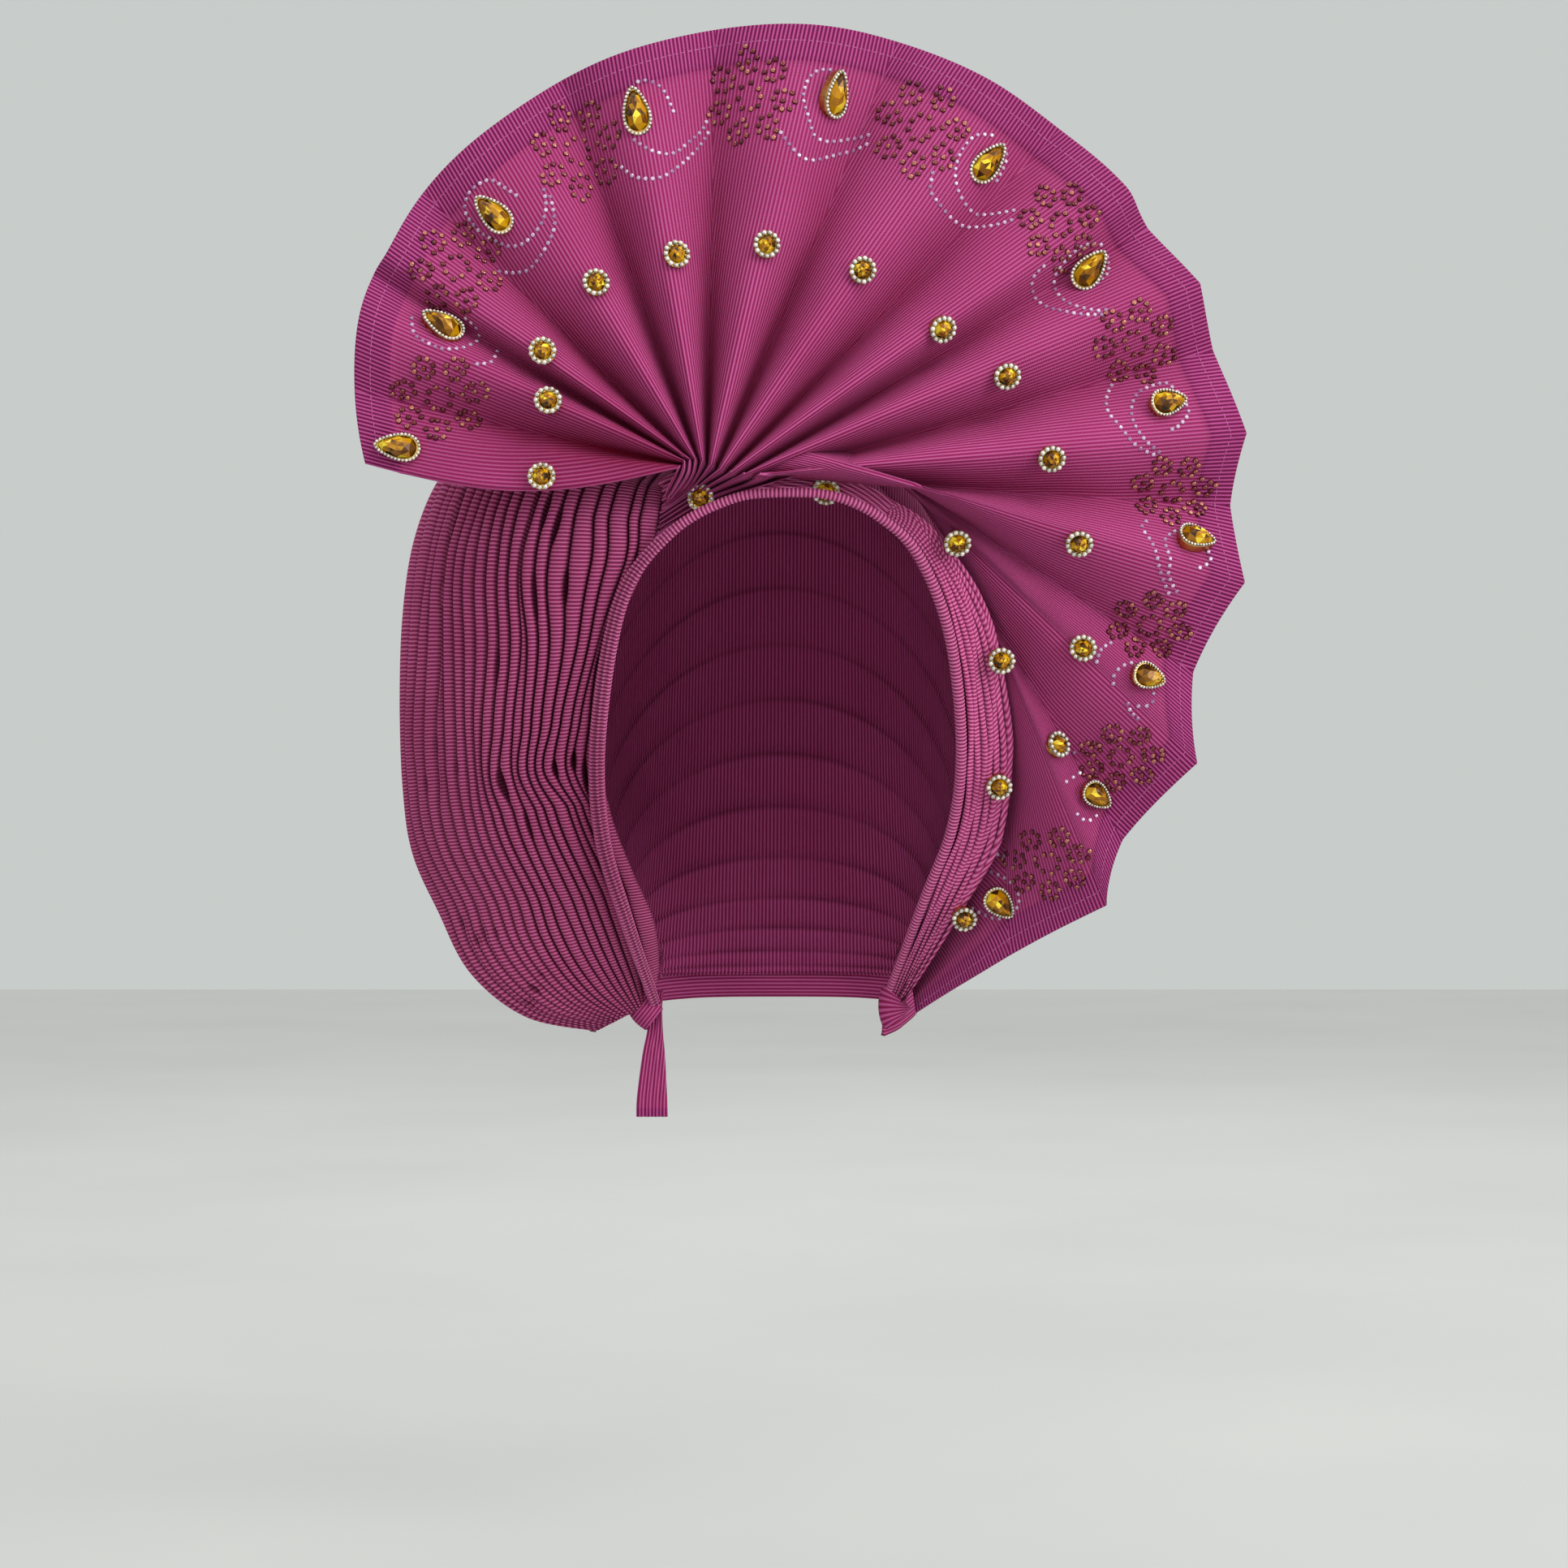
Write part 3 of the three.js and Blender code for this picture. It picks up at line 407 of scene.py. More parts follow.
class Graph:
    """Short calls that add and join the nodes of one node tree."""

    def __init__(self, tree: bpy.types.NodeTree) -> None:
        """Keep the tree that the calls work on."""
        self.tree = tree

    def add(self, kind: str, **settings: object) -> bpy.types.Node:
        """Add a node and set its properties.

        Args:
            kind: the node's type.
            settings: property values by name.

        Returns:
            The new node.
        """
        node = self.tree.nodes.new(kind)
        for name, value in settings.items():
            setattr(node, name, value)
        return node

    def feed(self, socket: Socket, value: Value) -> None:
        """Join an output to an input, or set the input's own value.

        Args:
            socket: the input.
            value: an output, a number or a colour.
        """
        if isinstance(value, bpy.types.NodeSocket):
            self.tree.links.new(value, socket)
        elif isinstance(value, tuple):
            socket.default_value = (*value, 1.0)
        else:
            socket.default_value = value

    def fed(self, kind: str, inputs: dict[int, Value], output: int, **settings: object) -> Socket:
        """Add a node and feed some of its inputs.

        Args:
            kind: the node's type.
            inputs: values by the input's number.
            output: number of the output that is wanted.
            settings: property values by name.

        Returns:
            The output.
        """
        node = self.add(kind, **settings)
        for number, value in inputs.items():
            self.feed(node.inputs[number], value)
        return node.outputs[output]

    def math(self, operation: str, *values: Value) -> Socket:
        """Work out a Math node's result."""
        return self.fed("ShaderNodeMath", dict(enumerate(values)), 0, operation=operation)

    def mix(self, share: Value, first: Value, second: Value) -> Socket:
        """Mix a share of the second colour into the first."""
        return self.fed("ShaderNodeMix", {0: share, 6: first, 7: second}, 2, data_type="RGBA")

    def rise(self, value: Value, low: float, high: float) -> Socket:
        """Rise smoothly from 0 at the low value to 1 at the high one."""
        inputs = {0: value, 1: low, 2: high}
        return self.fed("ShaderNodeMapRange", inputs, 0, interpolation_type="SMOOTHSTEP")

    def noise(self, place: Socket, scale: float, detail: float) -> Socket:
        """Read noise with so many patterns in each metre and octaves of finer noise."""
        return self.fed("ShaderNodeTexNoise", {0: place, 2: scale, 3: detail}, 0)

    def pair(self, layer: str) -> tuple[Socket, Socket]:
        """Read the two values of a UV map of the piece.

        Args:
            layer: the map's name.

        Returns:
            Its first and second value.
        """
        source = self.add("ShaderNodeUVMap", uv_map=layer)
        split = self.add("ShaderNodeSeparateXYZ")
        self.feed(split.inputs[0], source.outputs[0])
        return split.outputs[0], split.outputs[1]

    def place(self) -> Socket:
        """Read the piece's own coordinates."""
        return self.add("ShaderNodeTexCoord").outputs["Object"]

    def use(self, group: bpy.types.NodeTree, **values: Value) -> dict[str, Socket]:
        """Place a shared group and feed its inputs.

        Args:
            group: the shared group.
            values: inputs by name.

        Returns:
            Its outputs by name.
        """
        node = self.add("ShaderNodeGroup", node_tree=group)
        for name, value in values.items():
            self.feed(node.inputs[name], value)
        return {socket.name: socket for socket in node.outputs}


class Effect(Enum):
    """Shader groups that several finishes share."""

    LINES = "even_lines"
    FIBRE = "cloth_fibre"

    def group(self) -> bpy.types.NodeTree:
        """Give the effect's node group, made on first use."""
        return bpy.data.node_groups.get(self.value) or self._make()

    def _sockets(self, inputs: dict[str, str], outputs: Sequence[str]) -> tuple[Graph, dict, dict]:
        """Start a node group with named sockets.

        Args:
            inputs: socket types by name.
            outputs: names of the values that it gives.

        Returns:
            Its graph, and its inner inputs and outputs by name.
        """
        tree = bpy.data.node_groups.new(self.value, "ShaderNodeTree")
        for name, kind in inputs.items():
            tree.interface.new_socket(name=name, in_out="INPUT", socket_type=kind)
        for name in outputs:
            tree.interface.new_socket(name=name, in_out="OUTPUT", socket_type="NodeSocketFloat")
        graph = Graph(tree)
        given = graph.add("NodeGroupInput").outputs
        asked = graph.add("NodeGroupOutput").inputs
        return graph, {s.name: s for s in given}, {s.name: s for s in asked}

    def _make(self) -> bpy.types.NodeTree:
        """Build the effect: two noises, or even lines as (0.5 + 0.5 cos(2 pi along / pitch)) to a power.

        Returns:
            The new node group.
        """
        if self is Effect.FIBRE:
            graph, given, asked = self._sockets({"Place": "NodeSocketVector"}, ["Blotch", "Fibre"])
            graph.feed(asked["Blotch"], graph.noise(given["Place"], BLOTCHES_IN_METRE, 2.0))
            graph.feed(asked["Fibre"], graph.noise(given["Place"], FIBRES_IN_METRE, 1.0))
        else:
            inputs = dict.fromkeys(("Along", "Pitch", "Narrow"), "NodeSocketFloat")
            graph, given, asked = self._sockets(inputs, ["Line"])
            turn = graph.math("MULTIPLY", graph.math("DIVIDE", given["Along"], given["Pitch"]), TURN)
            wave = graph.math("MULTIPLY_ADD", graph.math("COSINE", turn), 0.5, 0.5)
            graph.feed(asked["Line"], graph.math("POWER", wave, given["Narrow"]))
        return graph.tree


def start_material(name: str) -> tuple[bpy.types.Material, Graph, bpy.types.Node]:
    """Start a material.

    Args:
        name: the material's name.

    Returns:
        The material, its graph and its shader.
    """
    made = bpy.data.materials.new(name)
    made.use_nodes = True
    return made, Graph(made.node_tree), made.node_tree.nodes["Principled BSDF"]


@dataclass(frozen=True)
class ClothFinish:
    """Ribbed cloth: bright ribs on a darker ground, cross threads between them, and a doubled hem."""

    name: str
    pitch: float = 1.5
    narrow: float = 1.15
    relief: float = 0.36
    net: float = 0.0
    ground: Colour = linear(126, 16, 68)
    rib: Colour = linear(184, 87, 142)
    hem_ground: Colour = linear(98, 6, 58)
    hem_rib: Colour = linear(182, 79, 142)
    thread: Colour = linear(166, 46, 104)
    # painted shade: the colour that creases and crevices are darkened toward
    deep: Colour = linear(56, 0, 14)
    tint: Colour = linear(238, 150, 200)
    hem_width: float = 13.6
    hem_soft: float = 0.5
    net_full: float = 30.0
    net_end: float = 110.0
    thread_pitch: float = 0.7
    thread_narrow: float = 1.5
    thread_relief: float = 0.25
    fibre_relief: float = 0.12
    worn: float = 0.2
    worn_between: Span = (0.4, 0.75)
    spun: float = 0.16
    spun_between: Span = (0.5, 0.8)
    roughness: float = 0.68
    rib_gloss: float = 0.1
    fibre_rough: float = 0.2
    specular: float = 0.08
    sheen: float = 0.03
    sheen_roughness: float = 0.4

    def material(self) -> bpy.types.Material:
        """Build the cloth's material from the rib, thread and fibre effects.

        Returns:
            The material, made once for each name.
        """
        known = bpy.data.materials.get(self.name)
        if known:
            return known
        made, graph, shader = start_material(self.name)
        along, across = graph.pair("rib")
        from_hem, crevice = graph.pair("zone")
        lines = Effect.LINES.group()
        rib = graph.use(lines, Along=along, Pitch=self.pitch, Narrow=self.narrow)["Line"]
        cross = graph.use(lines, Along=across, Pitch=self.thread_pitch, Narrow=self.thread_narrow)["Line"]
        fibre = graph.use(Effect.FIBRE.group(), Place=graph.place())
        body = graph.rise(from_hem, self.hem_width - self.hem_soft, self.hem_width + self.hem_soft)
        far = graph.rise(from_hem, self.hem_width + self.net_full, self.hem_width + self.net_end)
        fade = graph.math("SUBTRACT", 1.0, far)
        veil = graph.math("MULTIPLY", graph.math("MULTIPLY", fade, body), self.net)
        laced = graph.mix(graph.math("MULTIPLY", veil, cross), self.ground, self.thread)
        ground = graph.mix(body, self.hem_ground, laced)
        raised = graph.mix(body, self.hem_rib, self.rib)
        cloth = graph.mix(rib, ground, raised)
        worn = graph.math("MULTIPLY", graph.rise(fibre["Blotch"], *self.worn_between), self.worn)
        spun = graph.math("MULTIPLY", graph.rise(fibre["Fibre"], *self.spun_between), self.spun)
        cloth = graph.mix(spun, graph.mix(worn, cloth, ground), raised)
        # painted shade: the crevice share mixes the cloth toward the deep colour
        graph.feed(shader.inputs["Base Color"], graph.mix(crevice, cloth, self.deep))
        polished = graph.math("MULTIPLY_ADD", rib, -self.rib_gloss, self.roughness)
        rough = graph.math("MULTIPLY_ADD", fibre["Fibre"], self.fibre_rough, polished)
        graph.feed(shader.inputs["Roughness"], rough)
        graph.feed(shader.inputs["Specular IOR Level"], self.specular)
        graph.feed(shader.inputs["Sheen Weight"], self.sheen)
        graph.feed(shader.inputs["Sheen Roughness"], self.sheen_roughness)
        graph.feed(shader.inputs["Sheen Tint"], self.tint)
        bump = graph.add("ShaderNodeBump")
        graph.feed(bump.inputs["Distance"], self.relief * MM)
        graph.feed(bump.inputs["Strength"], 1.0)
        height = graph.math("MULTIPLY_ADD", cross, graph.math("MULTIPLY", veil, self.thread_relief), rib)
        height = graph.math("MULTIPLY_ADD", fibre["Fibre"], self.fibre_relief, height)
        graph.feed(bump.inputs["Height"], height)
        graph.feed(shader.inputs["Normal"], bump.outputs[0])
        return made


@dataclass(frozen=True)
class FacetFinish:
    """A hard finish whose tone changes from facet to facet."""

    name: str
    tones: tuple[Colour, ...]
    metallic: float
    roughness: float
    coat: float = 0.0
    coat_roughness: float = 0.05
    specular: float = 0.5
    smear: float = 0.12
    smear_rough: float = 0.1

    def material(self) -> bpy.types.Material:
        """Build the material: a ramp of tones read at the facet's own value, with fine smears.

        Returns:
            The material, made once for each name.
        """
        known = bpy.data.materials.get(self.name)
        if known:
            return known
        made, graph, shader = start_material(self.name)
        tone, _ = graph.pair("facet")
        ramp = graph.add("ShaderNodeValToRGB")
        marks = ramp.color_ramp.elements
        while len(marks) < len(self.tones):
            marks.new(0.5)
        for number, colour in enumerate(self.tones):
            marks[number].position = number / (len(self.tones) - 1)
            marks[number].color = (*colour, 1.0)
        graph.feed(ramp.inputs[0], tone)
        smear = graph.use(Effect.FIBRE.group(), Place=graph.place())["Fibre"]
        dulled = graph.mix(graph.math("MULTIPLY", smear, self.smear), ramp.outputs[0], self.tones[0])
        graph.feed(shader.inputs["Base Color"], dulled)
        rough = graph.math("MULTIPLY_ADD", smear, self.smear_rough, self.roughness)
        graph.feed(shader.inputs["Roughness"], rough)
        graph.feed(shader.inputs["Metallic"], self.metallic)
        graph.feed(shader.inputs["Specular IOR Level"], self.specular)
        graph.feed(shader.inputs["Coat Weight"], self.coat)
        graph.feed(shader.inputs["Coat Roughness"], self.coat_roughness)
        return made


Finish = Union[ClothFinish, FacetFinish]

# The fan's painted shade is a lighter, saturated red.
FAN_CLOTH = ClothFinish("fan_cloth", net=0.8, deep=linear(108, 0, 34))
GATHER_CLOTH = ClothFinish("gather_cloth")
# Ropes, brow band and roll are the fan's cloth; their lighter ribs and the brow band's lighter ground are
# painted light.
ROPE_CLOTH = ClothFinish(
    "rope_cloth", narrow=0.95, relief=0.5, ground=linear(120, 16, 66), rib=linear(196, 100, 148)
)
BROW_CLOTH = ClothFinish(
    "brow_cloth", narrow=0.95, relief=0.45, ground=linear(150, 34, 90), rib=linear(230, 124, 180)
)
ROLL_CLOTH = ClothFinish(
    "roll_cloth", narrow=0.8, relief=0.5, ground=linear(126, 24, 74), rib=linear(214, 116, 166)
)
CAP_CLOTH = ClothFinish("cap_cloth")
# Amber's own colour in the middle of the ramp; its dark and pale ends are painted shade and painted
# highlight.
AMBER = FacetFinish(
    "amber_glass",
    (linear(46, 22, 0), linear(106, 62, 0), linear(166, 108, 0), linear(208, 154, 0), linear(252, 228, 64)),
    metallic=0.0, roughness=0.12, specular=0.3,
)
# Ramp from painted shade under the beads to a painted highlight on top.
SILVER = FacetFinish(
    "silver_bead",
    (linear(66, 54, 50), linear(146, 136, 128), linear(232, 228, 216)),
    metallic=0.3, roughness=0.18,
)
GILT = FacetFinish("gilt_wall", (linear(150, 104, 40), linear(226, 186, 98)), metallic=1.0, roughness=0.2)
# Ramp from painted shade to a painted gold highlight; the studs' sides take the dark end, their tops the
# light end.
STUD = FacetFinish(
    "bronze_stud",
    (linear(44, 0, 16), linear(76, 4, 26), linear(112, 30, 42), linear(208, 138, 112)),
    metallic=0.35, roughness=0.2,
)
# Ramp of painted reflections of the magenta cloth, lightest as a painted highlight.
CRYSTAL = FacetFinish(
    "clear_crystal",
    (linear(96, 40, 90), linear(150, 104, 150), linear(226, 206, 228)),
    metallic=0.1, roughness=0.15, coat=0.2,
)
THREAD = FacetFinish(
    "pale_thread", (linear(150, 58, 112), linear(188, 104, 156)), metallic=0.0, roughness=0.7
)


@dataclass
class Patch:
    """Faces with one number of corners, and the values that a finish reads at each corner."""

    faces: Array
    maps: dict[str, Array]
    finish: int = 0
    smooth: bool = True

    def turned(self) -> "Patch":
        """Give the same faces turned over."""
        maps = {label: values[:, ::-1] for label, values in self.maps.items()}
        return Patch(self.faces[:, ::-1], maps, self.finish, self.smooth)


def add_piece(
    name: str, points: Array, patches: Sequence[Patch], finishes: Sequence[Finish]
) -> Piece:
    """Put points and patches into a new mesh object that rides on the part's body.

    Args:
        name: the piece's name.
        points: its points in millimetres.
        patches: its faces.
        finishes: its finishes, in the order that the patches number them.

    Returns:
        The new object.
    """
    mesh = bpy.data.meshes.new(name)
    faces = [corners for patch in patches for corners in patch.faces.tolist()]
    mesh.from_pydata((points * MM).tolist(), [], faces)
    for label in patches[0].maps:
        corners = np.concatenate([patch.maps[label].reshape(-1, 2) for patch in patches])
        mesh.uv_layers.new(name=label).uv.foreach_set("vector", corners.astype(np.float32).ravel())
    for finish in finishes:
        mesh.materials.append(finish.material())
    numbers = np.concatenate([np.full(len(patch.faces), patch.finish) for patch in patches])
    smooth = np.concatenate([np.full(len(patch.faces), patch.smooth) for patch in patches])
    mesh.polygons.foreach_set("material_index", numbers.astype(np.int32))
    mesh.polygons.foreach_set("use_smooth", smooth)
    mesh.update()
    made = bpy.data.objects.new(name, mesh)
    bpy.context.scene.collection.objects.link(made)
    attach(made, "root")
    LOG.info("%s: %d faces", name, len(faces))
    return made


def thicken(made: Piece, wall: float) -> None:
    """Give a sheet a wall of so many millimetres behind its outer face."""
    solid = made.modifiers.new("wall", "SOLIDIFY")
    solid.thickness, solid.offset = wall * MM, -1.0


def add_cloth(
    name: str, grid: Array, rib: Array, zone: Array, outward: Array, finish: ClothFinish, wall: float
) -> Piece:
    """Make a sheet from a grid of points, turn its faces outward and give it a thin wall behind.

    Args:
        name: the piece's name.
        grid: rows and columns of points in millimetres.
        rib: rib coordinates, on the grid or in panels that share the grid's columns.
        zone: distance from the hem and share of painted crevice shade, given as rib is.
        outward: vectors on the grid, or one vector, that show the outer side.
        finish: the cloth's finish.
        wall: the cloth's thickness in millimetres.

    Returns:
        The new object.
    """
    quads = grid_quads(*grid.shape[:2])
    patch = Patch(quads, {"rib": cell_corners(rib), "zone": cell_corners(zone)})
    flat = grid.reshape(-1, 3)
    corner = flat[quads]
    normal = np.cross(corner[:, 2] - corner[:, 0], corner[:, 3] - corner[:, 1])
    aim = np.broadcast_to(outward, grid.shape).reshape(-1, 3)[quads[:, 0]]
    if np.sum(normal * aim) < 0:
        patch = patch.turned()
    made = add_piece(name, flat, [patch], [finish])
    thicken(made, wall)
    return made


def add_tube(
    name: str, rings: Array, rib: Array, crevice: Array, turned: bool, finish: ClothFinish, wall: float
) -> Piece:
    """Make a cloth tube from rings of points, and give it a thin wall inside.

    Args:
        name: the piece's name.
        rings: rows of points round the tube in millimetres, the last of each row on its first.
        rib: rib coordinates on the rings.
        crevice: share of painted crevice shade on the rings.
        turned: whether the faces have to be turned over to show outward.
        finish: the cloth's finish.
        wall: the cloth's thickness in millimetres.

    Returns:
        The new object.
    """
    quads = tube_quads(len(rings), rings.shape[1] - 1)
    patch = Patch(quads, {"rib": cell_corners(rib), "zone": cell_corners(plain_zone(crevice))})
    points = rings[:, :-1].reshape(-1, 3)
    made = add_piece(name, points, [patch.turned() if turned else patch], [finish])
    thicken(made, wall)
    return made


class Hold(Enum):
    """Ways in which a cloth piece is held."""

    GATHERED = "gathered"
    STRETCHED = "stretched"
    FOLDED = "folded"
    HUNG = "hung"


@dataclass(frozen=True)
class Viewpoint:
    """Where the photo was taken from, in millimetres, and its scale at the head's middle."""

    x: float = 1.86
    distance: float = 1300.0
    z: float = -150.0
    pixel: float = 0.31
    middle: float = 966.0

    def pixels(self, points: Array) -> tuple[Array, Array]:
        """Find where points show in the photo.

        Args:
            points: points in millimetres.

        Returns:
            Pixels across and pixels down.
        """
        scale = self.pixel * (self.distance + points[..., 1]) / self.distance
        across = self.middle + (points[..., 0] - self.x) / scale
        return across, self.middle - (points[..., 2] - self.z) / scale


VIEW = Viewpoint()


def rim_frame(at: Array) -> tuple[Array, Array, Array]:
    """Find the rim's centre line and its two cross directions.

    Args:
        at: places along the rim's table.

    Returns:
        Centres, directions away from the face, and directions out of the head.
    """
    centre = catmull(RIM[:, :3], at)
    along = unit(catmull(RIM[:, :3], at + RIM_STEP) - catmull(RIM[:, :3], at - RIM_STEP))
    away = (centre - FACE_MIDDLE) * [1, 0, 1]
    across = unit(away - along * np.sum(away * along, axis=-1, keepdims=True))
    out = unit(np.cross(along, across))
    return centre, across, out * np.where(out[..., 1:2] > 0, -1, 1)


@dataclass(frozen=True)
class CapShape:
    """The form of the crown cap: egg-shaped hoops that turn about an axis at the nape."""

    nape_y: float = 46.0
    nape_z: float = -228.0
    foot_half: float = 47.0
    foot_rise: float = 12.0
    widest: float = 0.45

    def points(self, at: Array, side: Array) -> Array:
        """Find points of the cap.

        Args:
            at: places along the hoops' table.
            side: places across the head, from -1 at the left foot to 1 at the right.

        Returns:
            One point for each pair of places.
        """
        at, side = np.broadcast_arrays(at, side)
        top_y, top_z, half, bow = np.moveaxis(catmull(HOOPS, at), -1, 0)
        top_y, top_z = top_y - self.nape_y, top_z - self.nape_z
        height = np.hypot(top_y, top_z)
        middle = np.maximum(self.widest * height, self.foot_rise)
        foot = np.pi - np.arcsin(self.foot_half / half)
        turn = np.abs(side) * foot
        below = (middle - self.foot_rise) / -np.cos(foot)
        rise = np.where(np.cos(turn) > 0, height - middle, below) * np.cos(turn)
        share = (middle + rise) / height
        y = self.nape_y + top_y * share - bow * 4 * share * (1 - share)
        return np.stack([half * np.sin(turn) * np.sign(side), y, self.nape_z + top_z * share], -1)


CAP = CapShape()


@dataclass
class Fan:
    """The pleated sheet that spreads from the pinch, with its hem, its stitches and its gathered root."""

    columns: int = 10
    inner_rows: int = 44
    wall: float = 0.9
    ridge_slope: float = 1.5
    valley_slope: float = 2.8
    ridge_root: float = 0.5
    valley_root: float = 0.8
    full_depth_at: float = 0.3
    hem_flatten: float = 0.55
    leaf_sag: float = 9.2
    # Painted shade in the pleats' valleys, its power and its fade on the tucked panels, and painted shade on
    # the left leaf.
    crevice: float = 0.95
    crevice_shade_power: float = 1.3
    right_fade: float = 0.85
    leaf_shade: float = 0.45
    leaf_folds: tuple[int, int] = (2, 6)
    leaf_power: float = 1.5
    first_pointed: float = 13.0
    pointed_over: float = 3.0
    scallop: float = 0.6
    ripple: float = 0.7
    ripple_fade: Span = (60.0, 120.0)
    ripple_waves: Rings = ((0.11, 0.05, 0.8), (-0.04, 0.13, 0.0))
    hem_step: float = 0.45
    hem_seam: Span = (13.3, 13.9)
    hem_share: float = 0.6
    hem_rows: Row = (0.0, 0.5, 2.0, 4.5, 6.0, 8.5, 11.0, 13.3, 13.9, 16.5, 20.0)
    tuck_from: int = 19
    tuck_in: float = 15.0
    tuck_back: float = 5.0
    tuck_rows: Span = (3.0, 6.0)
    gather_rows: int = 26
    gather_folds: int = 21
    gather_turn: float = 2.0
    gather_lift: float = 1.1
    gather_slope: float = 1.4
    gather_shade_power: float = 2.0
    gather_wall: float = 0.6
    stitch_at: float = 6.0
    stitch_margin: float = 4.0
    stitch_pitch: float = 2.7
    stitch_length: float = 1.9
    stitch_half: float = 0.16
    stitch_rise: float = 0.15
    stitch_form: Rings = ((0.5, 0.0), (1.0, 0.12), (1.0, 0.88), (0.5, 1.0))
    stitch_tones: Row = (0.4, 0.7, 0.5)
    stitch_sides: int = 6
    seat_from: float = -300.0
    place: Array = field(init=False)
    from_hem: Array = field(init=False)
    grid: Array = field(init=False)
    tree: BVHTree = field(init=False)
    rib_starts: Array = field(init=False)

    def build(self) -> None:
        """Build the fan, its gathered root and its stitches."""
        self._lay_rows()
        lines = self._fold_lines()
        depth = self._depths(lines)
        panels, height = self._pleated(lines, depth)
        panels = self._rounded_hem(panels)
        seam = step_up(-self.from_hem, -self.hem_seam[1], -self.hem_seam[0])
        panels[..., 1] -= self.hem_step * seam[:, None, None]
        panels[..., 1] += self._ripple(panels)
        panels = self._tucked(panels)
        self.grid = self._joined(panels)
        ribs, self.rib_starts = self._rib_places(panels, None)
        # Painted shade: darker in the valleys toward the root, faded on the tucked panels, added on the left
        # leaf near the pinch.
        inward = np.clip(1 - (self.place[:, :-1] + self.place[:, 1:])[..., None] / 2, 0, 1)
        dark = self.crevice * ((1 - height) / 2) ** self.crevice_shade_power * inward
        panel = np.arange(panels.shape[1])[:, None]
        dark *= 1 - self.right_fade * step_up(panel, self.tuck_from - 1, self.tuck_from + 2)
        leaf = 1 - step_up(panel, *self.leaf_folds)
        dark = dark + self.leaf_shade * leaf * inward ** self.leaf_power
        zone = np.broadcast_to(self.from_hem[:, None, None], ribs.shape)
        rib_map = np.stack([ribs, zone], -1)
        zone_map = np.stack([zone, np.broadcast_to(dark, ribs.shape)], -1)
        fan = add_cloth("pleated_fan", self.grid, rib_map, zone_map, FRONT, FAN_CLOTH, self.wall)
        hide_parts("fan")
        quads = grid_quads(*self.grid.shape[:2])
        self.tree = BVHTree.FromPolygons(self.grid.reshape(-1, 3).tolist(), quads.tolist())
        self._gather(depth[-1])
        self._stitches()

    def _lay_rows(self) -> None:
        """Lay out rows by their distance from the hem, then by share of each fold line down to the root."""
        root, hem = self._ends()
        length = np.linalg.norm(hem - root, axis=-1)
        near = np.array(self.hem_rows)
        outer = 1 - near[:, None] * np.minimum(1, self.hem_share * length / near[-1]) / length
        share = np.linspace(1, 0, self.inner_rows + 1)[1:, None]
        inner = outer[-1] * share
        deeper = near[-1] + (1 - share[:, 0]) * (np.median(length) - near[-1])
        self.from_hem = np.concatenate([near, deeper])
        self.place = np.concatenate([outer, inner])

    @staticmethod
    def _ends() -> tuple[Array, Array]:
        """Find the root and the hem point of each fold line."""
        angle = np.radians(FOLDS[:, 0])
        x = PINCH[0] + FOLDS[:, 1] * np.cos(angle)
        z = PINCH[1] + FOLDS[:, 1] * np.sin(angle)
        return FOLDS[:, 3:6], np.stack([x, FOLDS[:, 2], z], -1)

    def _fold_lines(self) -> Array:
        """Run straight lines from root to hem, the free leaf's edge sagging by a sine.

        Returns:
            Rows, folds and their points.
        """
        root, hem = self._ends()
        lines = root + (hem - root) * self.place[..., None]
        lines[:, 0, 2] -= self.leaf_sag * np.sin(np.pi * self.place[:, 0])
        return lines

    def _depths(self, lines: Array) -> Array:
        """Work out the half-depth of each pleat, less at the root and the hem and limited by its pitch.

        Args:
            lines: rows, folds and their points.

        Returns:
            Half-depths for each row and fold.
        """
        gap = np.linalg.norm(np.diff(lines, axis=1), axis=-1)
        pitch = np.minimum(np.concatenate([gap[:, :1], gap], 1), np.concatenate([gap, gap[:, -1:]], 1))
        ridge = np.arange(lines.shape[1]) % 2 == 0
        root = np.where(ridge, self.ridge_root, self.valley_root)
        rise = root + (1 - root) * np.minimum(1, self.place / self.full_depth_at)
        slope = np.where(ridge, self.ridge_slope, self.valley_slope)
        flatter = 1 - self.hem_flatten * self.place ** 2
        return np.minimum(FOLDS[:, 6] * rise * flatter, slope * pitch)

    def _pleated(self, lines: Array, depth: Array) -> tuple[Array, Array]:
        """Fill the panels between fold lines, forward by 2 cos(pi s / 2) - 1 of the half-depth.

        Args:
            lines: rows, folds and their points.
            depth: half-depths for each row and fold.

        Returns:
            Rows, panels, columns and their points; and the height from -1 in a valley to 1 on a ridge.
        """
        share = np.linspace(0, 1, self.columns + 1)
        near, far = lines[:, :-1, None], lines[:, 1:, None]
        panels = near + (far - near) * share[:, None]
        even = np.arange(lines.shape[1] - 1) % 2 == 0
        height = 2 * np.cos(np.pi / 2 * np.where(even[:, None], share, 1 - share)) - 1
        ridge = np.where(even, depth[:, :-1], depth[:, 1:])[..., None]
        valley = np.where(even, depth[:, 1:], depth[:, :-1])[..., None]
        panels[..., 1] -= np.where(height > 0, height * ridge, height * valley)
        return panels, height

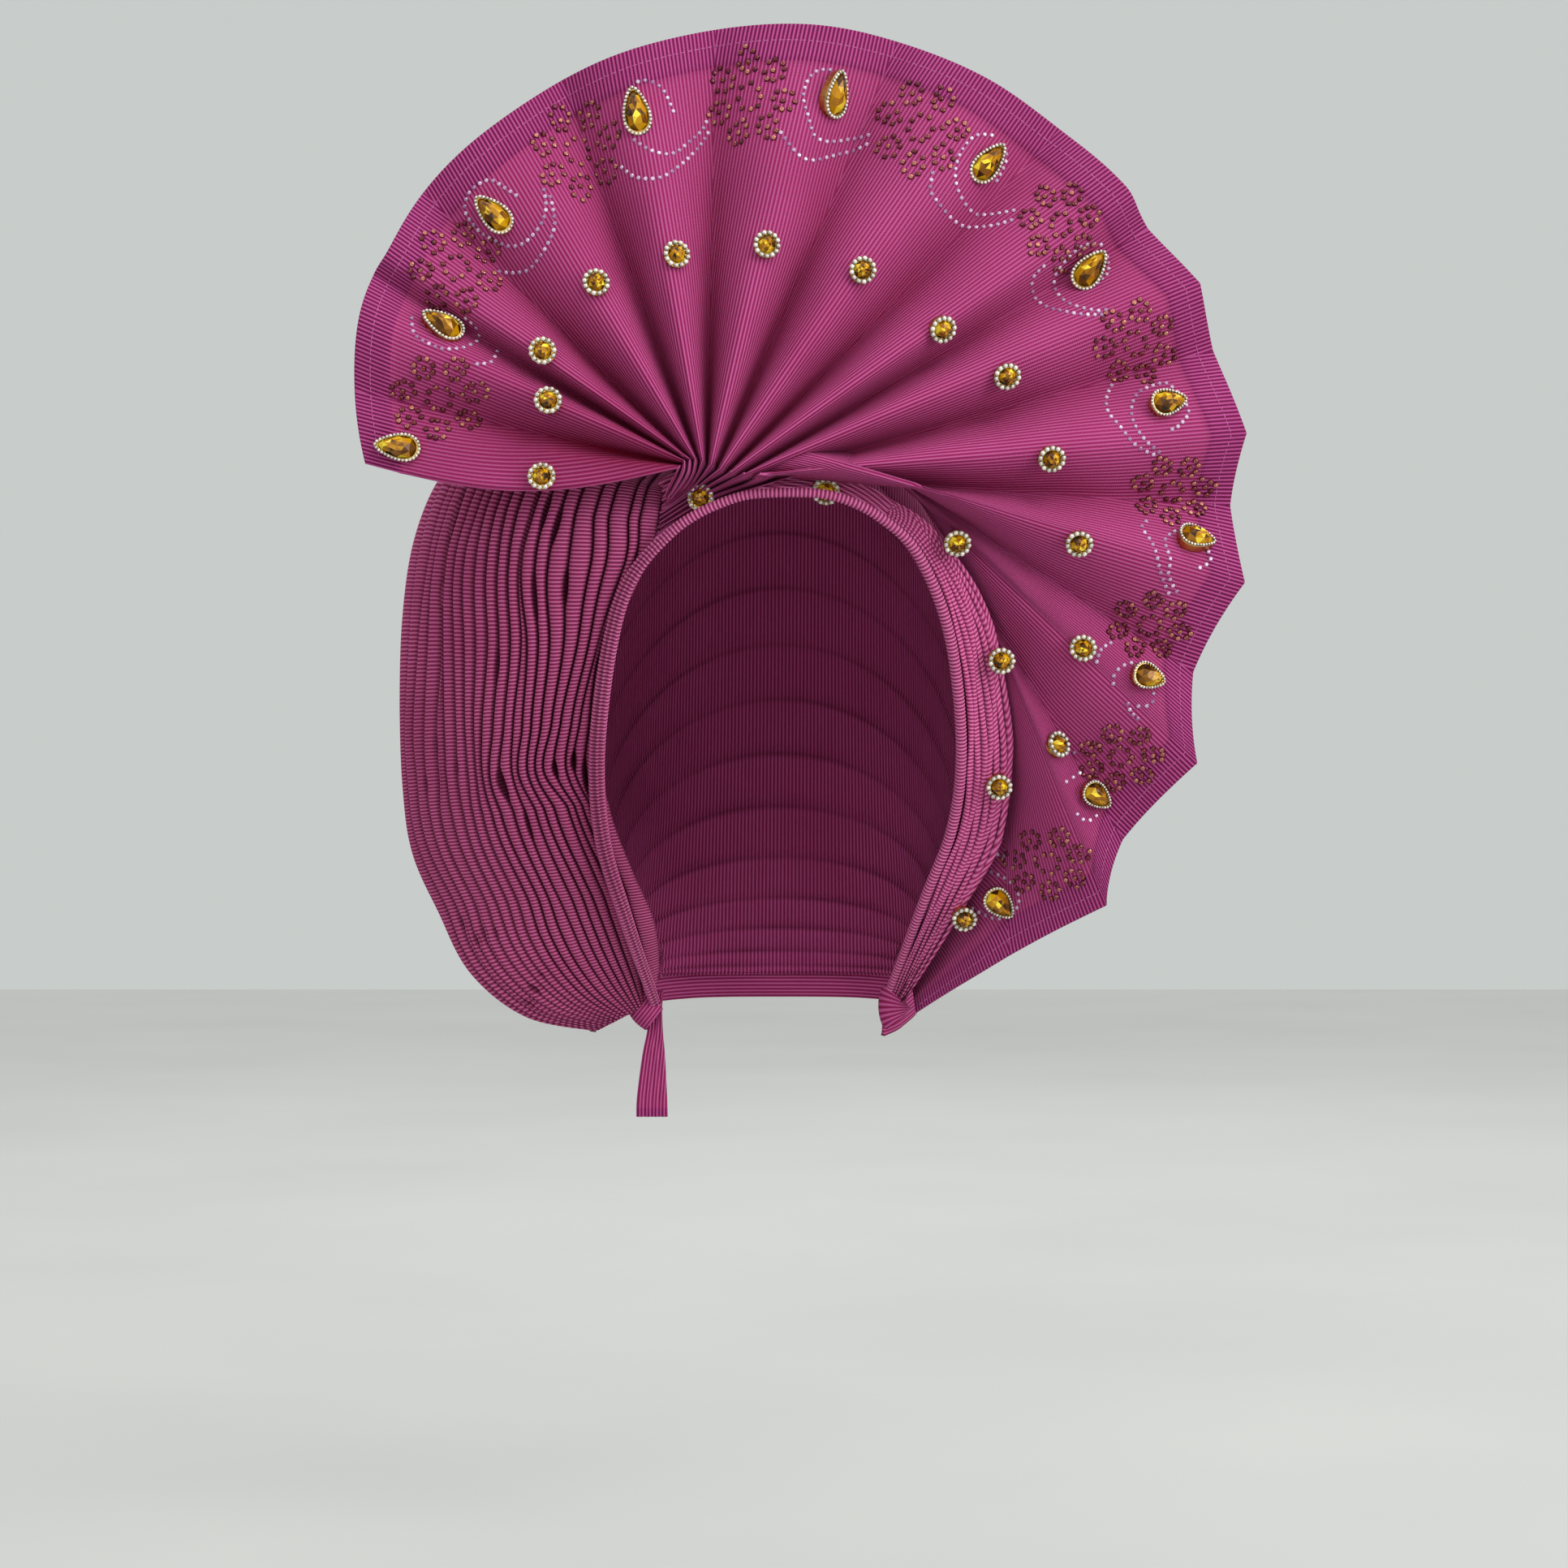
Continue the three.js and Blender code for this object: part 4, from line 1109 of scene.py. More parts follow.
    def _rounded_hem(self, panels: Array) -> Array:
        """Round the hem between folds on a smooth curve of angle and reach.

        Where the folds are pointed, the curve fades to parabolas that meet at the ridges. Elsewhere, cloth
        that lies deeper reaches farther, so that the hem looks round from the front.

        Args:
            panels: rows, panels, columns and their points.

        Returns:
            The panels with a rounded hem.
        """
        share = np.linspace(0, 1, self.columns + 1)
        fold = np.arange(panels.shape[1])[:, None] + share
        polar = catmull(FOLDS[:, :2], fold)
        angle = np.radians(polar[..., 0])
        smooth = PINCH + polar[..., 1:] * np.stack([np.cos(angle), np.sin(angle)], -1)
        ends = self._ends()[1][:, [0, 2]]
        straight = ends[:-1, None] + (ends[1:] - ends[:-1])[:, None] * share[:, None]
        ridge = np.arange(len(straight)) // 2 * 2
        along = (fold - ridge[:, None])[..., None]
        pointed = (
            ends[ridge][:, None] * (along - 1) * (along - 2) / 2
            + ends[ridge + 1][:, None] * along * (2 - along)
            + ends[ridge + 2][:, None] * along * (along - 1) / 2
        )
        fade = 1 - step_up(fold, self.first_pointed, self.first_pointed + self.pointed_over)
        pointed = straight + self.scallop * (pointed - straight)
        smooth = fade[..., None] * smooth + (1 - fade[..., None]) * pointed
        near = ((self.place[:, :-1] + self.place[:, 1:]) / 2) ** 2
        panels[..., [0, 2]] += near[..., None, None] * (smooth - straight)
        level = VIEW.distance + catmull(FOLDS[:, 2:3], fold)[..., 0]
        grown = 1 + near[..., None] * fade * ((VIEW.distance + panels[..., 1]) / level - 1)
        middle = np.array([VIEW.x, VIEW.z])
        panels[..., [0, 2]] = middle + (panels[..., [0, 2]] - middle) * grown[..., None]
        return panels

    def _tucked(self, panels: Array) -> Array:
        """Add two rows past the root that tuck the cloth behind its neighbours.

        Args:
            panels: rows, panels, columns and their points.

        Returns:
            The panels with the two rows added.
        """
        last, before = panels[-1], panels[-2]
        inner = (np.arange(panels.shape[1]) >= self.tuck_from)[:, None, None]
        step = np.where(inner, unit(last - before) * self.tuck_in, 0.0) + [0, self.tuck_back, 0]
        self.place = np.concatenate([self.place, np.zeros((2, self.place.shape[1]))])
        self.from_hem = np.append(self.from_hem, self.from_hem[-1] + np.array(self.tuck_rows))
        return np.concatenate([panels, [last + step * 0.5, last + step]])

    def _ripple(self, panels: Array) -> Array:
        """Work out slow waves of the cloth, as two crossed sines that fade toward the root.

        Args:
            panels: rows, panels, columns and their points.

        Returns:
            How far each point moves back.
        """
        x, z = panels[..., 0], panels[..., 2]
        near, far = self.ripple_fade
        fade = step_up(-self.from_hem, -far, -near)[:, None, None]
        waves = sum(np.sin(x * across + z * up + start) for across, up, start in self.ripple_waves)
        return fade * self.ripple * waves

    @staticmethod
    def _joined(panels: Array) -> Array:
        """Join panels that share their border columns into one grid."""
        rows = panels.shape[0]
        return np.concatenate([panels[:, :, :-1].reshape(rows, -1, 3), panels[:, -1, -1:]], 1)

    @staticmethod
    def _rib_places(panels: Array, starts: Union[Array, None]) -> tuple[Array, Array]:
        """Measure across the ribs from each ridge, so that ribs sink into the valleys.

        Args:
            panels: rows, panels, columns and their points.
            starts: rib coordinates of the ridges, or None to run them on from ridge to ridge at the hem.

        Returns:
            Rib coordinates, and those of the ridges.
        """
        run = run_length(panels, 2)
        even = (np.arange(panels.shape[1]) % 2 == 0)[:, None]
        from_ridge = np.where(even, run, run[..., -1:] - run)
        if starts is None:
            width = run[0, :, -1]
            ends = np.concatenate([[0], np.cumsum(width)])[::2]
            starts = np.round(ends / FAN_CLOTH.pitch) * FAN_CLOTH.pitch
        ridge = starts[(np.arange(panels.shape[1]) + 1) // 2][:, None]
        return ridge + np.where(even, from_ridge, -from_ridge), starts

    def _gather(self, depth: Array) -> None:
        """Carry the folds below the pinch as narrow ropes that turn down and tuck behind the side wrap.

        Args:
            depth: half-depths of the folds at the root.
        """
        folds = np.arange(self.gather_folds)
        stops = np.stack([np.interp(folds, TAILS[:, 0], column) for column in TAILS[:, 1:].T], -1)
        stops = stops.reshape(len(folds), 3, 3)
        path = np.concatenate([FOLDS[folds, None, 3:6], stops], 1).transpose(1, 0, 2)
        at = np.linspace(0, 3, self.gather_rows)
        lines = catmull(path.reshape(4, -1), at).reshape(len(at), len(folds), 3)
        late = step_up(at, 0, self.gather_turn)[:, None]
        gap = np.linalg.norm(np.diff(lines, axis=1), axis=-1)
        pitch = np.concatenate([gap[:, :1], gap], 1)
        rope = np.minimum(self.gather_lift, self.gather_slope * pitch)
        panels, height = self._pleated(lines, depth[folds] * (1 - late) + rope * late)
        ribs, _ = self._rib_places(panels, self.rib_starts)
        # Painted shade in the valleys of the gathered folds.
        dark = np.broadcast_to(self.crevice * ((1 - height) / 2) ** self.gather_shade_power, ribs.shape)
        rib_map = np.stack([ribs, np.zeros_like(ribs)], -1)
        zone_map = plain_zone(dark)
        grid = self._joined(panels)
        made = add_cloth("gathered_root", grid, rib_map, zone_map, FRONT, GATHER_CLOTH, self.gather_wall)

    def _stitches(self) -> None:
        """Sew a line of short stitches along the hem, each a bar that is drawn in at both ends."""
        row = int(np.argmin(np.abs(self.from_hem - self.stitch_at)))
        line, inside = self.grid[row], self.grid[row + 1]
        run = run_length(line, 0)
        start = np.arange(self.stitch_margin, run[-1] - self.stitch_margin, self.stitch_pitch)
        first = at_lengths(line, run, start)
        along = at_lengths(line, run, start + self.stitch_length) - first
        down = at_lengths(inside - line, run, start)
        normal = unit(np.cross(along, down))
        normal *= np.where(normal[:, 1:2] > 0, -1, 1)
        bar = Stamp.lathe(np.array(self.stitch_form), self.stitch_tones, self.stitch_sides)
        axes = np.stack([unit(down) * self.stitch_half, normal * self.stitch_rise, along], 1)
        bar.place("hem_stitches", first, axes, THREAD, "cloth")

    def seat(self, places: Array) -> tuple[Array, Array, Array]:
        """Drop places seen from the front onto the cloth.

        Args:
            places: x and z of each place.

        Returns:
            Points on the cloth, their normals, and which places met the cloth.
        """
        ahead = Vector((0, 1, 0))
        starts = [Vector((x, self.seat_from, z)) for x, z in places.tolist()]
        hits = [self.tree.ray_cast(start, ahead) for start in starts]
        met = np.array([hit[0] is not None for hit in hits])
        points = np.array([hit[0][:] for hit in hits if hit[0] is not None]).reshape(-1, 3)
        normals = np.array([hit[1][:] for hit in hits if hit[0] is not None]).reshape(-1, 3)
        return points, normals * np.where(normals[:, 1:2] > 0, -1, 1), met


@dataclass
class Stamp:
    """A small shape that is set down many times, along three directions of its own."""

    points: Array
    faces: list[Array]
    tones: Array
    spread: float = 0.45

    @classmethod
    def lathe(cls, profile: Array, tones: Sequence[float], sides: int) -> "Stamp":
        """Turn a profile of radius and height about the third direction and close its ends.

        Args:
            profile: rows of radius and height.
            tones: a tone for each step of the profile.
            sides: number of sides.

        Returns:
            The stamp, its tones wandering a little from face to face.
        """
        angle = np.arange(sides) * TURN / sides
        ring = np.stack([np.cos(angle), np.sin(angle)], -1)
        flat = profile[:, None, :1] * ring
        level = np.broadcast_to(profile[:, None, 1:], (len(profile), sides, 1))
        points = np.concatenate([flat, level], -1).reshape(-1, 3)
        last = (len(profile) - 1) * sides
        quads = tube_quads(len(profile), sides)
        ends = np.stack([np.arange(sides)[::-1], last + np.arange(sides)])
        base = np.concatenate([np.repeat(tones, sides), [tones[0], tones[-1]]])
        wander = TONE_WANDER * ((np.arange(len(base)) * TONE_STRIDE) % 1.0)
        return cls(points, [quads, ends], base + wander - TONE_WANDER / 2)

    def place(self, name: str, centres: Array, axes: Array, finish: FacetFinish, slot: str) -> None:
        """Set the stamp down at each centre and join the copies into one piece."""
        points, patches = self.copies(centres, axes, 0, False)
        add_piece(name, points, patches, [finish])

    def copies(
        self, centres: Array, axes: Array, finish: int, smooth: bool, offset: int = 0
    ) -> tuple[Array, list[Patch]]:
        """Work out the points and faces of all copies at once.

        Args:
            centres: where the copies go.
            axes: three directions of each copy, as long as the shape is there.
            finish: number of their finish.
            smooth: whether the faces are smooth.
            offset: number of points already in the piece.

        Returns:
            Points and patches.
        """
        handed = np.linalg.det(axes[0]) > 0
        points = (centres[:, None] + self.points @ axes).reshape(-1, 3)
        step = offset + np.arange(len(centres)) * len(self.points)
        shift = np.random.default_rng(SEED).random(len(centres))
        patches, used = [], 0
        for faces in self.faces:
            tone = self.tones[used:used + len(faces)] + self.spread * (shift[:, None] - 0.5)
            tone = np.clip(tone, 0, 1)
            used += len(faces)
            turned = faces if handed else faces[:, ::-1]
            all_faces = (turned + step[:, None, None]).reshape(-1, faces.shape[1])
            pair = np.stack([tone, tone], -1).reshape(-1, 1, 2)
            corners = np.broadcast_to(pair, (len(all_faces), faces.shape[1], 2))
            patches.append(Patch(all_faces, {"facet": corners}, finish, smooth))
        return points, patches


@dataclass
class FaceRoll:
    """The rolled edge round the face: a ribbed rope, in three strands on the photo's left."""

    sides: int = 20
    rib_pitch: float = 1.5
    steps: int = 4
    samples: int = 4000
    ring: float = 0.075
    groove: float = 0.36
    groove_at: Span = (1.1, 2.04)
    groove_width: float = 0.26
    groove_shade: float = 0.75
    strands_end: Span = (4.4, 5.7)
    chevron: float = 0.55
    wall: float = 0.8

    def build(self) -> None:
        """Carry a ribbed section along the rim; its radius swells by a cosine at each rib."""
        dense = np.linspace(0, len(RIM) - 1, self.samples)
        run = run_length(catmull(RIM[:, :3], dense), 0)
        stations = int(run[-1] / self.rib_pitch * self.steps)
        length = np.linspace(0, run[-1], stations)
        at = np.interp(length, run, dense)
        centre, across, out = rim_frame(at)
        radius = catmull(RIM[:, 3:], at)
        angle = np.linspace(0, TURN, self.sides + 1)
        split = step_up(-at, -self.strands_end[1], -self.strands_end[0])[:, None]
        dent = split * sum(np.exp(-((angle - middle) / self.groove_width) ** 2) for middle in self.groove_at)
        along = length[:, None] + self.chevron * split * np.abs(np.cos(angle))
        swell = 1 + self.ring * np.cos(TURN * along / self.rib_pitch)
        reach = (radius * (1 - self.groove * dent) * swell)[..., None]
        section = across[:, None] * np.cos(angle)[:, None] + out[:, None] * np.sin(angle)[:, None]
        rib = np.stack([along, np.broadcast_to(angle, along.shape)], -1)
        turned = np.sum(np.cross(across, out) * np.gradient(centre, axis=0)) < 0
        rings = centre[:, None] + reach * section
        # Painted shade in the grooves between the strands.
        made = add_tube("rolled_edge", rings, rib, self.groove_shade * dent, turned, ROLL_CLOTH, self.wall)
        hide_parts("face_roll")


def rope_columns(edges: Array, cells: int) -> tuple[Array, Array, Array]:
    """Divide a width into ropes with half-round tops.

    Args:
        edges: share of the width at the crevices, one more than the ropes.
        cells: columns in each rope.

    Returns:
        The share of the width at each column, the half-round height there, and the rope's number.
    """
    turn = np.arange(cells) / cells
    inside = (1 - np.cos(np.pi * turn)) / 2
    width = np.diff(edges)
    share = np.append((edges[:-1, None] + width[:, None] * inside).ravel(), edges[-1])
    round_top = np.append(np.tile(np.sin(np.pi * turn), len(width)), 0.0)
    number = np.append(np.repeat(np.arange(len(width)), cells), len(width) - 1)
    return share, round_top, number


@dataclass
class BrowRopes:
    """The band of narrow ropes between the rolled edge and the fan."""

    stations: int = 320
    ropes: int = 7
    cells: int = 8
    clear: float = 0.6
    sink: float = 0.5
    most_lift: float = 1.9
    lift_share: float = 0.62
    wave: float = 0.05
    wave_turn: float = 5.0
    wave_step: float = 1.9
    wave_from: Span = (9.0, 11.0)
    shade: float = 0.6
    dark_from: Span = (13.2, 14.2)
    slant_from: float = 9.0
    first_slant: float = 80.0
    wall: float = 0.8
    slants: Row = (2.0, 6.0, 14.0, 24.0, 36.0, 50.0, 62.0)

    def build(self) -> None:
        """Carry a row of half-round ropes along the rim, their ribs slanting more away from the face."""
        share, top, number = rope_columns(np.linspace(0, 1, self.ropes + 1), self.cells)
        at = np.linspace(BROW[0, 0], BROW[-1, 0], self.stations)
        width, recess, fall = (np.interp(at, BROW[:, 0], BROW[:, n])[:, None] for n in (1, 2, 3))
        centre, across, out = rim_frame(at)
        radius = catmull(RIM[:, 3:], at)
        wave = self.wave * np.sin(at[:, None] * self.wave_turn + number * self.wave_step) * top
        place = share + wave * step_up(at[:, None], *self.wave_from)
        grid = centre[:, None] + across[:, None] * (radius + self.clear + place * width)[..., None]
        grid[..., 1] += recess + fall * place * width
        height = np.minimum(self.most_lift, self.lift_share * width / self.ropes)
        grid += out[:, None] * (height * (top - self.sink))[..., None]
        run = run_length(centre, 0)
        run -= np.interp(self.slant_from, at, run)
        slant = np.radians(np.array(self.slants))[number]
        slant = np.where(at[:, None] < self.slant_from, np.radians(self.first_slant), slant)
        along = run[:, None] * np.cos(slant) + share * width * np.sin(slant)
        rib = np.stack([along, share * width], -1)
        # Painted shade between the ropes, stronger and wider toward the band's far end.
        late = step_up(at[:, None], *self.dark_from)
        crevice = (self.shade + (1 - self.shade) * late) * (1 - top) ** (3 - 2 * late)
        zone = plain_zone(crevice)
        made = add_cloth("brow_ropes", grid, rib, zone, out[:, None], BROW_CLOTH, self.wall)
        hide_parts("brow_pleats")


@dataclass
class CrownCap:
    """The plain cloth over the head, in soft folds that run from nape gather to nape gather."""

    folds: int = 20
    cells: int = 6
    columns: int = 96
    lift: float = 1.5
    sink: float = 0.75
    roundness: float = 0.8
    flat_from: float = 0.7
    wander: float = 0.25
    wander_across: float = 9.0
    wander_along: float = 31.0
    shade: float = 0.45
    wall: float = 1.0

    def build(self) -> None:
        """Lay half-round folds along the cap's hoops, flatter toward the gathers."""
        share, top, _ = rope_columns(np.linspace(0, 1, self.folds + 1), self.cells)
        share, top = share[:, None], top[:, None]
        side = np.linspace(-1, 1, self.columns)
        base = CAP.points(share * (len(HOOPS) - 1), side)
        outward = base - HEAD_MIDDLE
        normal = surface_normals(base, outward)
        wander = np.sin(side * self.wander_across + share * self.wander_along)
        fade = (1 - step_up(np.abs(side), self.flat_from, 1.0)) * (1 - self.wander + self.wander * wander)
        grid = base + normal * (self.lift * fade * (top ** self.roundness - self.sink))[..., None]
        run = run_length(grid, 1)
        run -= run[:, [self.columns // 2]]
        rib = np.stack([run, run], -1)
        # Painted shade in the valleys of the folds.
        zone = plain_zone(self.shade * fade * (1 - top) ** 3)
        made = add_cloth("crown_cloth", grid, rib, zone, outward, CAP_CLOTH, self.wall)
        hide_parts("crown_front_left", "crown_front_right", "crown_back_left", "crown_back_right")


@dataclass
class SideWrap:
    """The bun of narrow ropes beside the face, with its kinks and the gaps between its ropes."""

    rows: int = 210
    stops: Row = (0.0, 0.06, 0.2, 0.5, 0.8, 0.94, 1.0)
    back_ropes: int = 5
    stand_off: float = 2.2
    sink: float = 0.45
    floor: float = 1.1
    forward: float = 0.9
    flatten: float = 0.45
    most_lift: float = 2.4
    slack: float = 0.003
    lift_share: float = 0.55
    # Painted shade beside the ropes: reach, power and strength, softening beside a much deeper rope, least on
    # the floors.
    shade: float = 0.6
    shade_power: float = 0.7
    depth: float = 0.62
    riser: float = 1.2
    least_soft: float = 0.15
    least_floor: float = 0.35
    bulge: float = 2.4
    slack_fade: float = 0.58
    rib_step: float = 0.61
    thread_span: float = 60.0
    back_side: float = -0.5
    wall: float = 0.9
    lid: Row = (0.03, 0.3, 0.6, 0.85)
    gap_depth: float = 5.0
    full_gap: float = 0.012
    gap_reach: float = 0.3
    tuck: float = 60.0

    def build(self) -> None:
        """Lay half-round ropes on the bun, each level with its own middle, with a sunk floor between ropes.

        The top end is closed by drawing its row in to the middle of the line between the row's two ends.
        """
        at = np.linspace(0, len(WRAP) - 1, self.rows)
        span = np.abs(catmull(WRAP[:, [3]], at) - catmull(WRAP[:, [0]], at))
        edges = self._edges(at)
        gaps = self._gaps(at, edges, span)
        share, middle, top, rope, is_floor = self._columns(edges, gaps)
        base = self._base(at, share)
        centre = self._base(at, middle)
        outward = base - (base[:, :1] + base[:, -1:]) / 2
        even = np.broadcast_to(np.linspace(0, 2, share.shape[1]), share.shape)
        normal = surface_normals(self._base(at, even), outward)
        ahead = share <= 1
        level = centre[..., 1] + self.flatten * (base - centre)[..., 1]
        base[..., 1] = np.where(ahead, level, base[..., 1])
        aim = unit(normal + np.where(ahead[..., None], self.forward * FRONT, 0.0))
        width = span * np.minimum(np.diff(edges, axis=1), 1 / len(ROPE_HEIGHTS))[:, rope]
        tall = np.append(ROPE_HEIGHTS, np.ones(self.back_ropes))[rope]
        height = np.minimum(self.most_lift, self.lift_share * width) * tall
        opened = np.clip(gaps[:, rope + 1] / self.full_gap, 0, 1)
        sunk = np.where(is_floor, self.floor * height + self.gap_depth * opened, 0.0)
        lift = np.where(is_floor, -sunk, height * (top - self.sink))
        grid = base + aim * lift[..., None]
        run = run_length(base, 0)[:, [share.shape[1] // 3]] + self.rib_step * rope
        rib_map = np.stack([run, share * self.thread_span], -1)
        # Painted shade beside each rope and on the floor between ropes, full on the floor where a gap opens.
        zone_map = plain_zone(np.maximum(self._crevice_shade(base), np.where(is_floor, opened, 0.0)))
        lid = np.array(self.lid)[:, None, None]
        hub = (grid[:1, :1] + grid[:1, -1:]) / 2
        reach = np.linalg.norm(grid[0] - hub, axis=-1).mean()
        rib_map = np.concatenate([rib_map[:1] - (1 - lid) * [reach, 0], rib_map])
        zone_map = np.concatenate([np.repeat(zone_map[:1], len(lid), 0), zone_map])
        outward = np.concatenate([np.repeat(outward[:1], len(lid), 0), outward])
        grid = np.concatenate([hub + (grid[:1] - hub) * lid, grid])
        made = add_cloth("side_ropes", grid, rib_map, zone_map, outward, ROPE_CLOTH, self.wall)
        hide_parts("side_wrap")

    def _crevice_shade(self, base: Array) -> Array:
        """Paint shade on each rope's sides and on the floor beside it, less toward a rope that lies much
        deeper.

        Args:
            base: rows and columns of points.

        Returns:
            Share of painted shade at each column.
        """
        stops = len(self.stops)
        padded = np.pad(np.stack([run_length(base, 1), base[..., 1]], -1), ((0, 0), (0, 1), (0, 0)))
        across, depth = np.moveaxis(padded.reshape(len(base), -1, stops + 1, 2), -1, 0)
        off = np.minimum(across - across[..., :1], across[..., stops - 1:stops] - across)
        step = np.pad(np.abs(depth[:, 1:, 0] - depth[:, :-1, stops - 1]), ((0, 0), (0, 1)))
        soft = np.clip(self.riser / np.maximum(step, 0.01), self.least_soft, 1.0)
        outer = np.arange(stops + 1) > stops // 2
        dark = np.where(outer, soft[..., None], 1.0) * self.depth
        dark = dark * np.clip(1 - off / self.shade, 0, 1) ** self.shade_power
        dark[..., stops] = np.maximum(soft, self.least_floor)
        return dark.reshape(len(base), -1)[:, :-1]

    def _edges(self, at: Array) -> Array:
        """Draw smooth lines through the listed crevices, then even ones behind the widest line.

        Args:
            at: places along the wrap's table.

        Returns:
            Share of each crevice in each row.
        """
        where = np.interp(at, CREVICES[:, 0], np.arange(len(CREVICES)))
        front = catmull(CREVICES[:, 1:], where)
        behind = np.linspace(1, 2, self.back_ropes + 1)
        return np.concatenate([front, np.broadcast_to(behind, (len(at), len(behind)))], 1)

    def _gaps(self, at: Array, edges: Array, span: Array) -> Array:
        """Part the ropes a little, and open lens-shaped gaps in the crevices nearest to the listed places.

        Args:
            at: places along the wrap's table.
            edges: share of each crevice in each row.
            span: the bun's width in each row.

        Returns:
            Half-width of the gap at each crevice in each row, as a share.
        """
        across, down = VIEW.pixels(self._base(at, edges)[:, 1:len(ROPE_HEIGHTS)])
        fade = np.clip(1 - np.clip(edges, 0, 1) ** self.bulge, 0, 1) ** self.slack_fade
        gaps = self.slack * np.where(edges < 1, fade, 1.0)
        for u, v, half_width, half_height in ROPE_GAPS:
            near = np.argmin(np.hypot(across - u, (down - v) * self.gap_reach).min(0))
            off = (down[:, near] - v) ** 2 + (across[:, near] - u) ** 2
            lens = np.clip(1 - off / half_height ** 2, 0, 1)
            gaps[:, near + 1] += half_width * VIEW.pixel * lens / span[:, 0]
        return gaps

    def _columns(self, edges: Array, gaps: Array) -> tuple[Array, Array, Array, Array, Array]:
        """Lay out columns: each rope from one side to the other as a half circle, then the floor beside it.

        Args:
            edges: share of each crevice in each row.
            gaps: half-width of the gap at each crevice.

        Returns:
            Share at each column, share at its rope's middle, half-round height, rope number, and whether it
            is a floor.
        """
        ropes = edges.shape[1] - 1
        inside = np.array(self.stops)
        cells = len(inside) - 1
        start = (edges + gaps)[:, :-1, None]
        stop = (edges - gaps)[:, 1:, None]
        share = np.concatenate([start + (stop - start) * inside, edges[:, 1:, None]], -1)
        share = share.reshape(len(edges), -1)[:, :-1]
        middle = np.repeat((edges[:, :-1] + edges[:, 1:]) / 2, cells + 2, axis=1)[:, :-1]
        top = np.tile(np.append(2 * np.sqrt(inside * (1 - inside)), 0.0), ropes)[:-1]
        rope = np.repeat(np.arange(ropes), cells + 2)[:-1]
        is_floor = np.tile(np.append(np.zeros(cells + 1, bool), True), ropes)[:-1]
        return share, middle, top, rope, is_floor

    def _base(self, at: Array, share: Array) -> Array:
        """Round the bun: a superellipse as far as the widest line and a quarter ellipse behind it.

        Args:
            at: places along the wrap's table.
            share: below 0 under the roll, 0 beside it, 1 at the widest line and 2 at the back edge.

        Returns:
            Rows and columns of points.
        """
        row = catmull(WRAP, at)
        front, widest = row[:, None, :3], row[:, None, 3:6]
        on_cap = CAP.points(row[:, 6], np.full(len(at), self.back_side))
        back = (on_cap + unit(on_cap - HEAD_MIDDLE) * self.stand_off)[:, None]
        near = np.minimum(share, 1)[..., None]
        bulge = (1 - np.clip(near, 0, 1) ** self.bulge) ** (1 / self.bulge)
        ahead = front + (widest - front) * near
        ahead[..., 1] = (widest + (front - widest) * bulge)[..., 1] + self.tuck * np.maximum(-share, 0)
        turn = np.pi / 2 * np.clip(share - 1, 0, 1)[..., None]
        behind = widest + (back - widest) * turn * 2 / np.pi
        behind[..., 0] = (back + (widest - back) * np.cos(turn))[..., 0]
        behind[..., 1] = (widest + (back - widest) * np.sin(turn))[..., 1]
        return np.where((share <= 1)[..., None], ahead, behind)


@dataclass
class Bindings:
    """Short bands that hold the gathered ends beside the neck."""

    sides: int = 28
    stations: int = 12
    ends: float = 0.86
    swell: float = 0.14
    taper: float = 0.1
    rib_wave: float = 0.35
    wall: float = 0.8

    def build(self) -> None:
        """Build a flat tube on each row of the table; its ribs run round it."""
        for number, row in enumerate(BINDINGS):
            self._band(f"binding_{number + 1}", row)

    def _band(self, name: str, row: Array) -> None:
        """Carry an oval section along a short line, drawn in at both ends.

        Args:
            name: the band's name.
            row: its row of the table.
        """
        start, stop, (long, deep, first, last) = row[:3], row[3:6], row[6:]
        share = np.linspace(0, 1, self.stations)[:, None]
        turn = np.radians(first + (last - first) * share)
        angle = np.linspace(0, TURN, self.sides + 1)
        swell = self.ends + self.swell * np.sin(np.pi * share) - self.taper * share
        side = np.stack([np.cos(turn), 0 * turn, np.sin(turn)], -1)
        oval = long * np.cos(angle)[:, None] * side + deep * np.sin(angle)[:, None] * FRONT
        rings = (start + (stop - start) * share)[:, None] + swell[..., None] * oval
        length = float(np.linalg.norm(stop - start))
        along = share * length + self.rib_wave * np.cos(angle)
        rib = np.stack([along, np.broadcast_to(angle, along.shape)], -1)
        turned = np.cross(side[self.stations // 2, 0], FRONT) @ (stop - start) < 0
        made = add_tube(name, rings, rib, np.zeros_like(along), turned, CAP_CLOTH, self.wall)


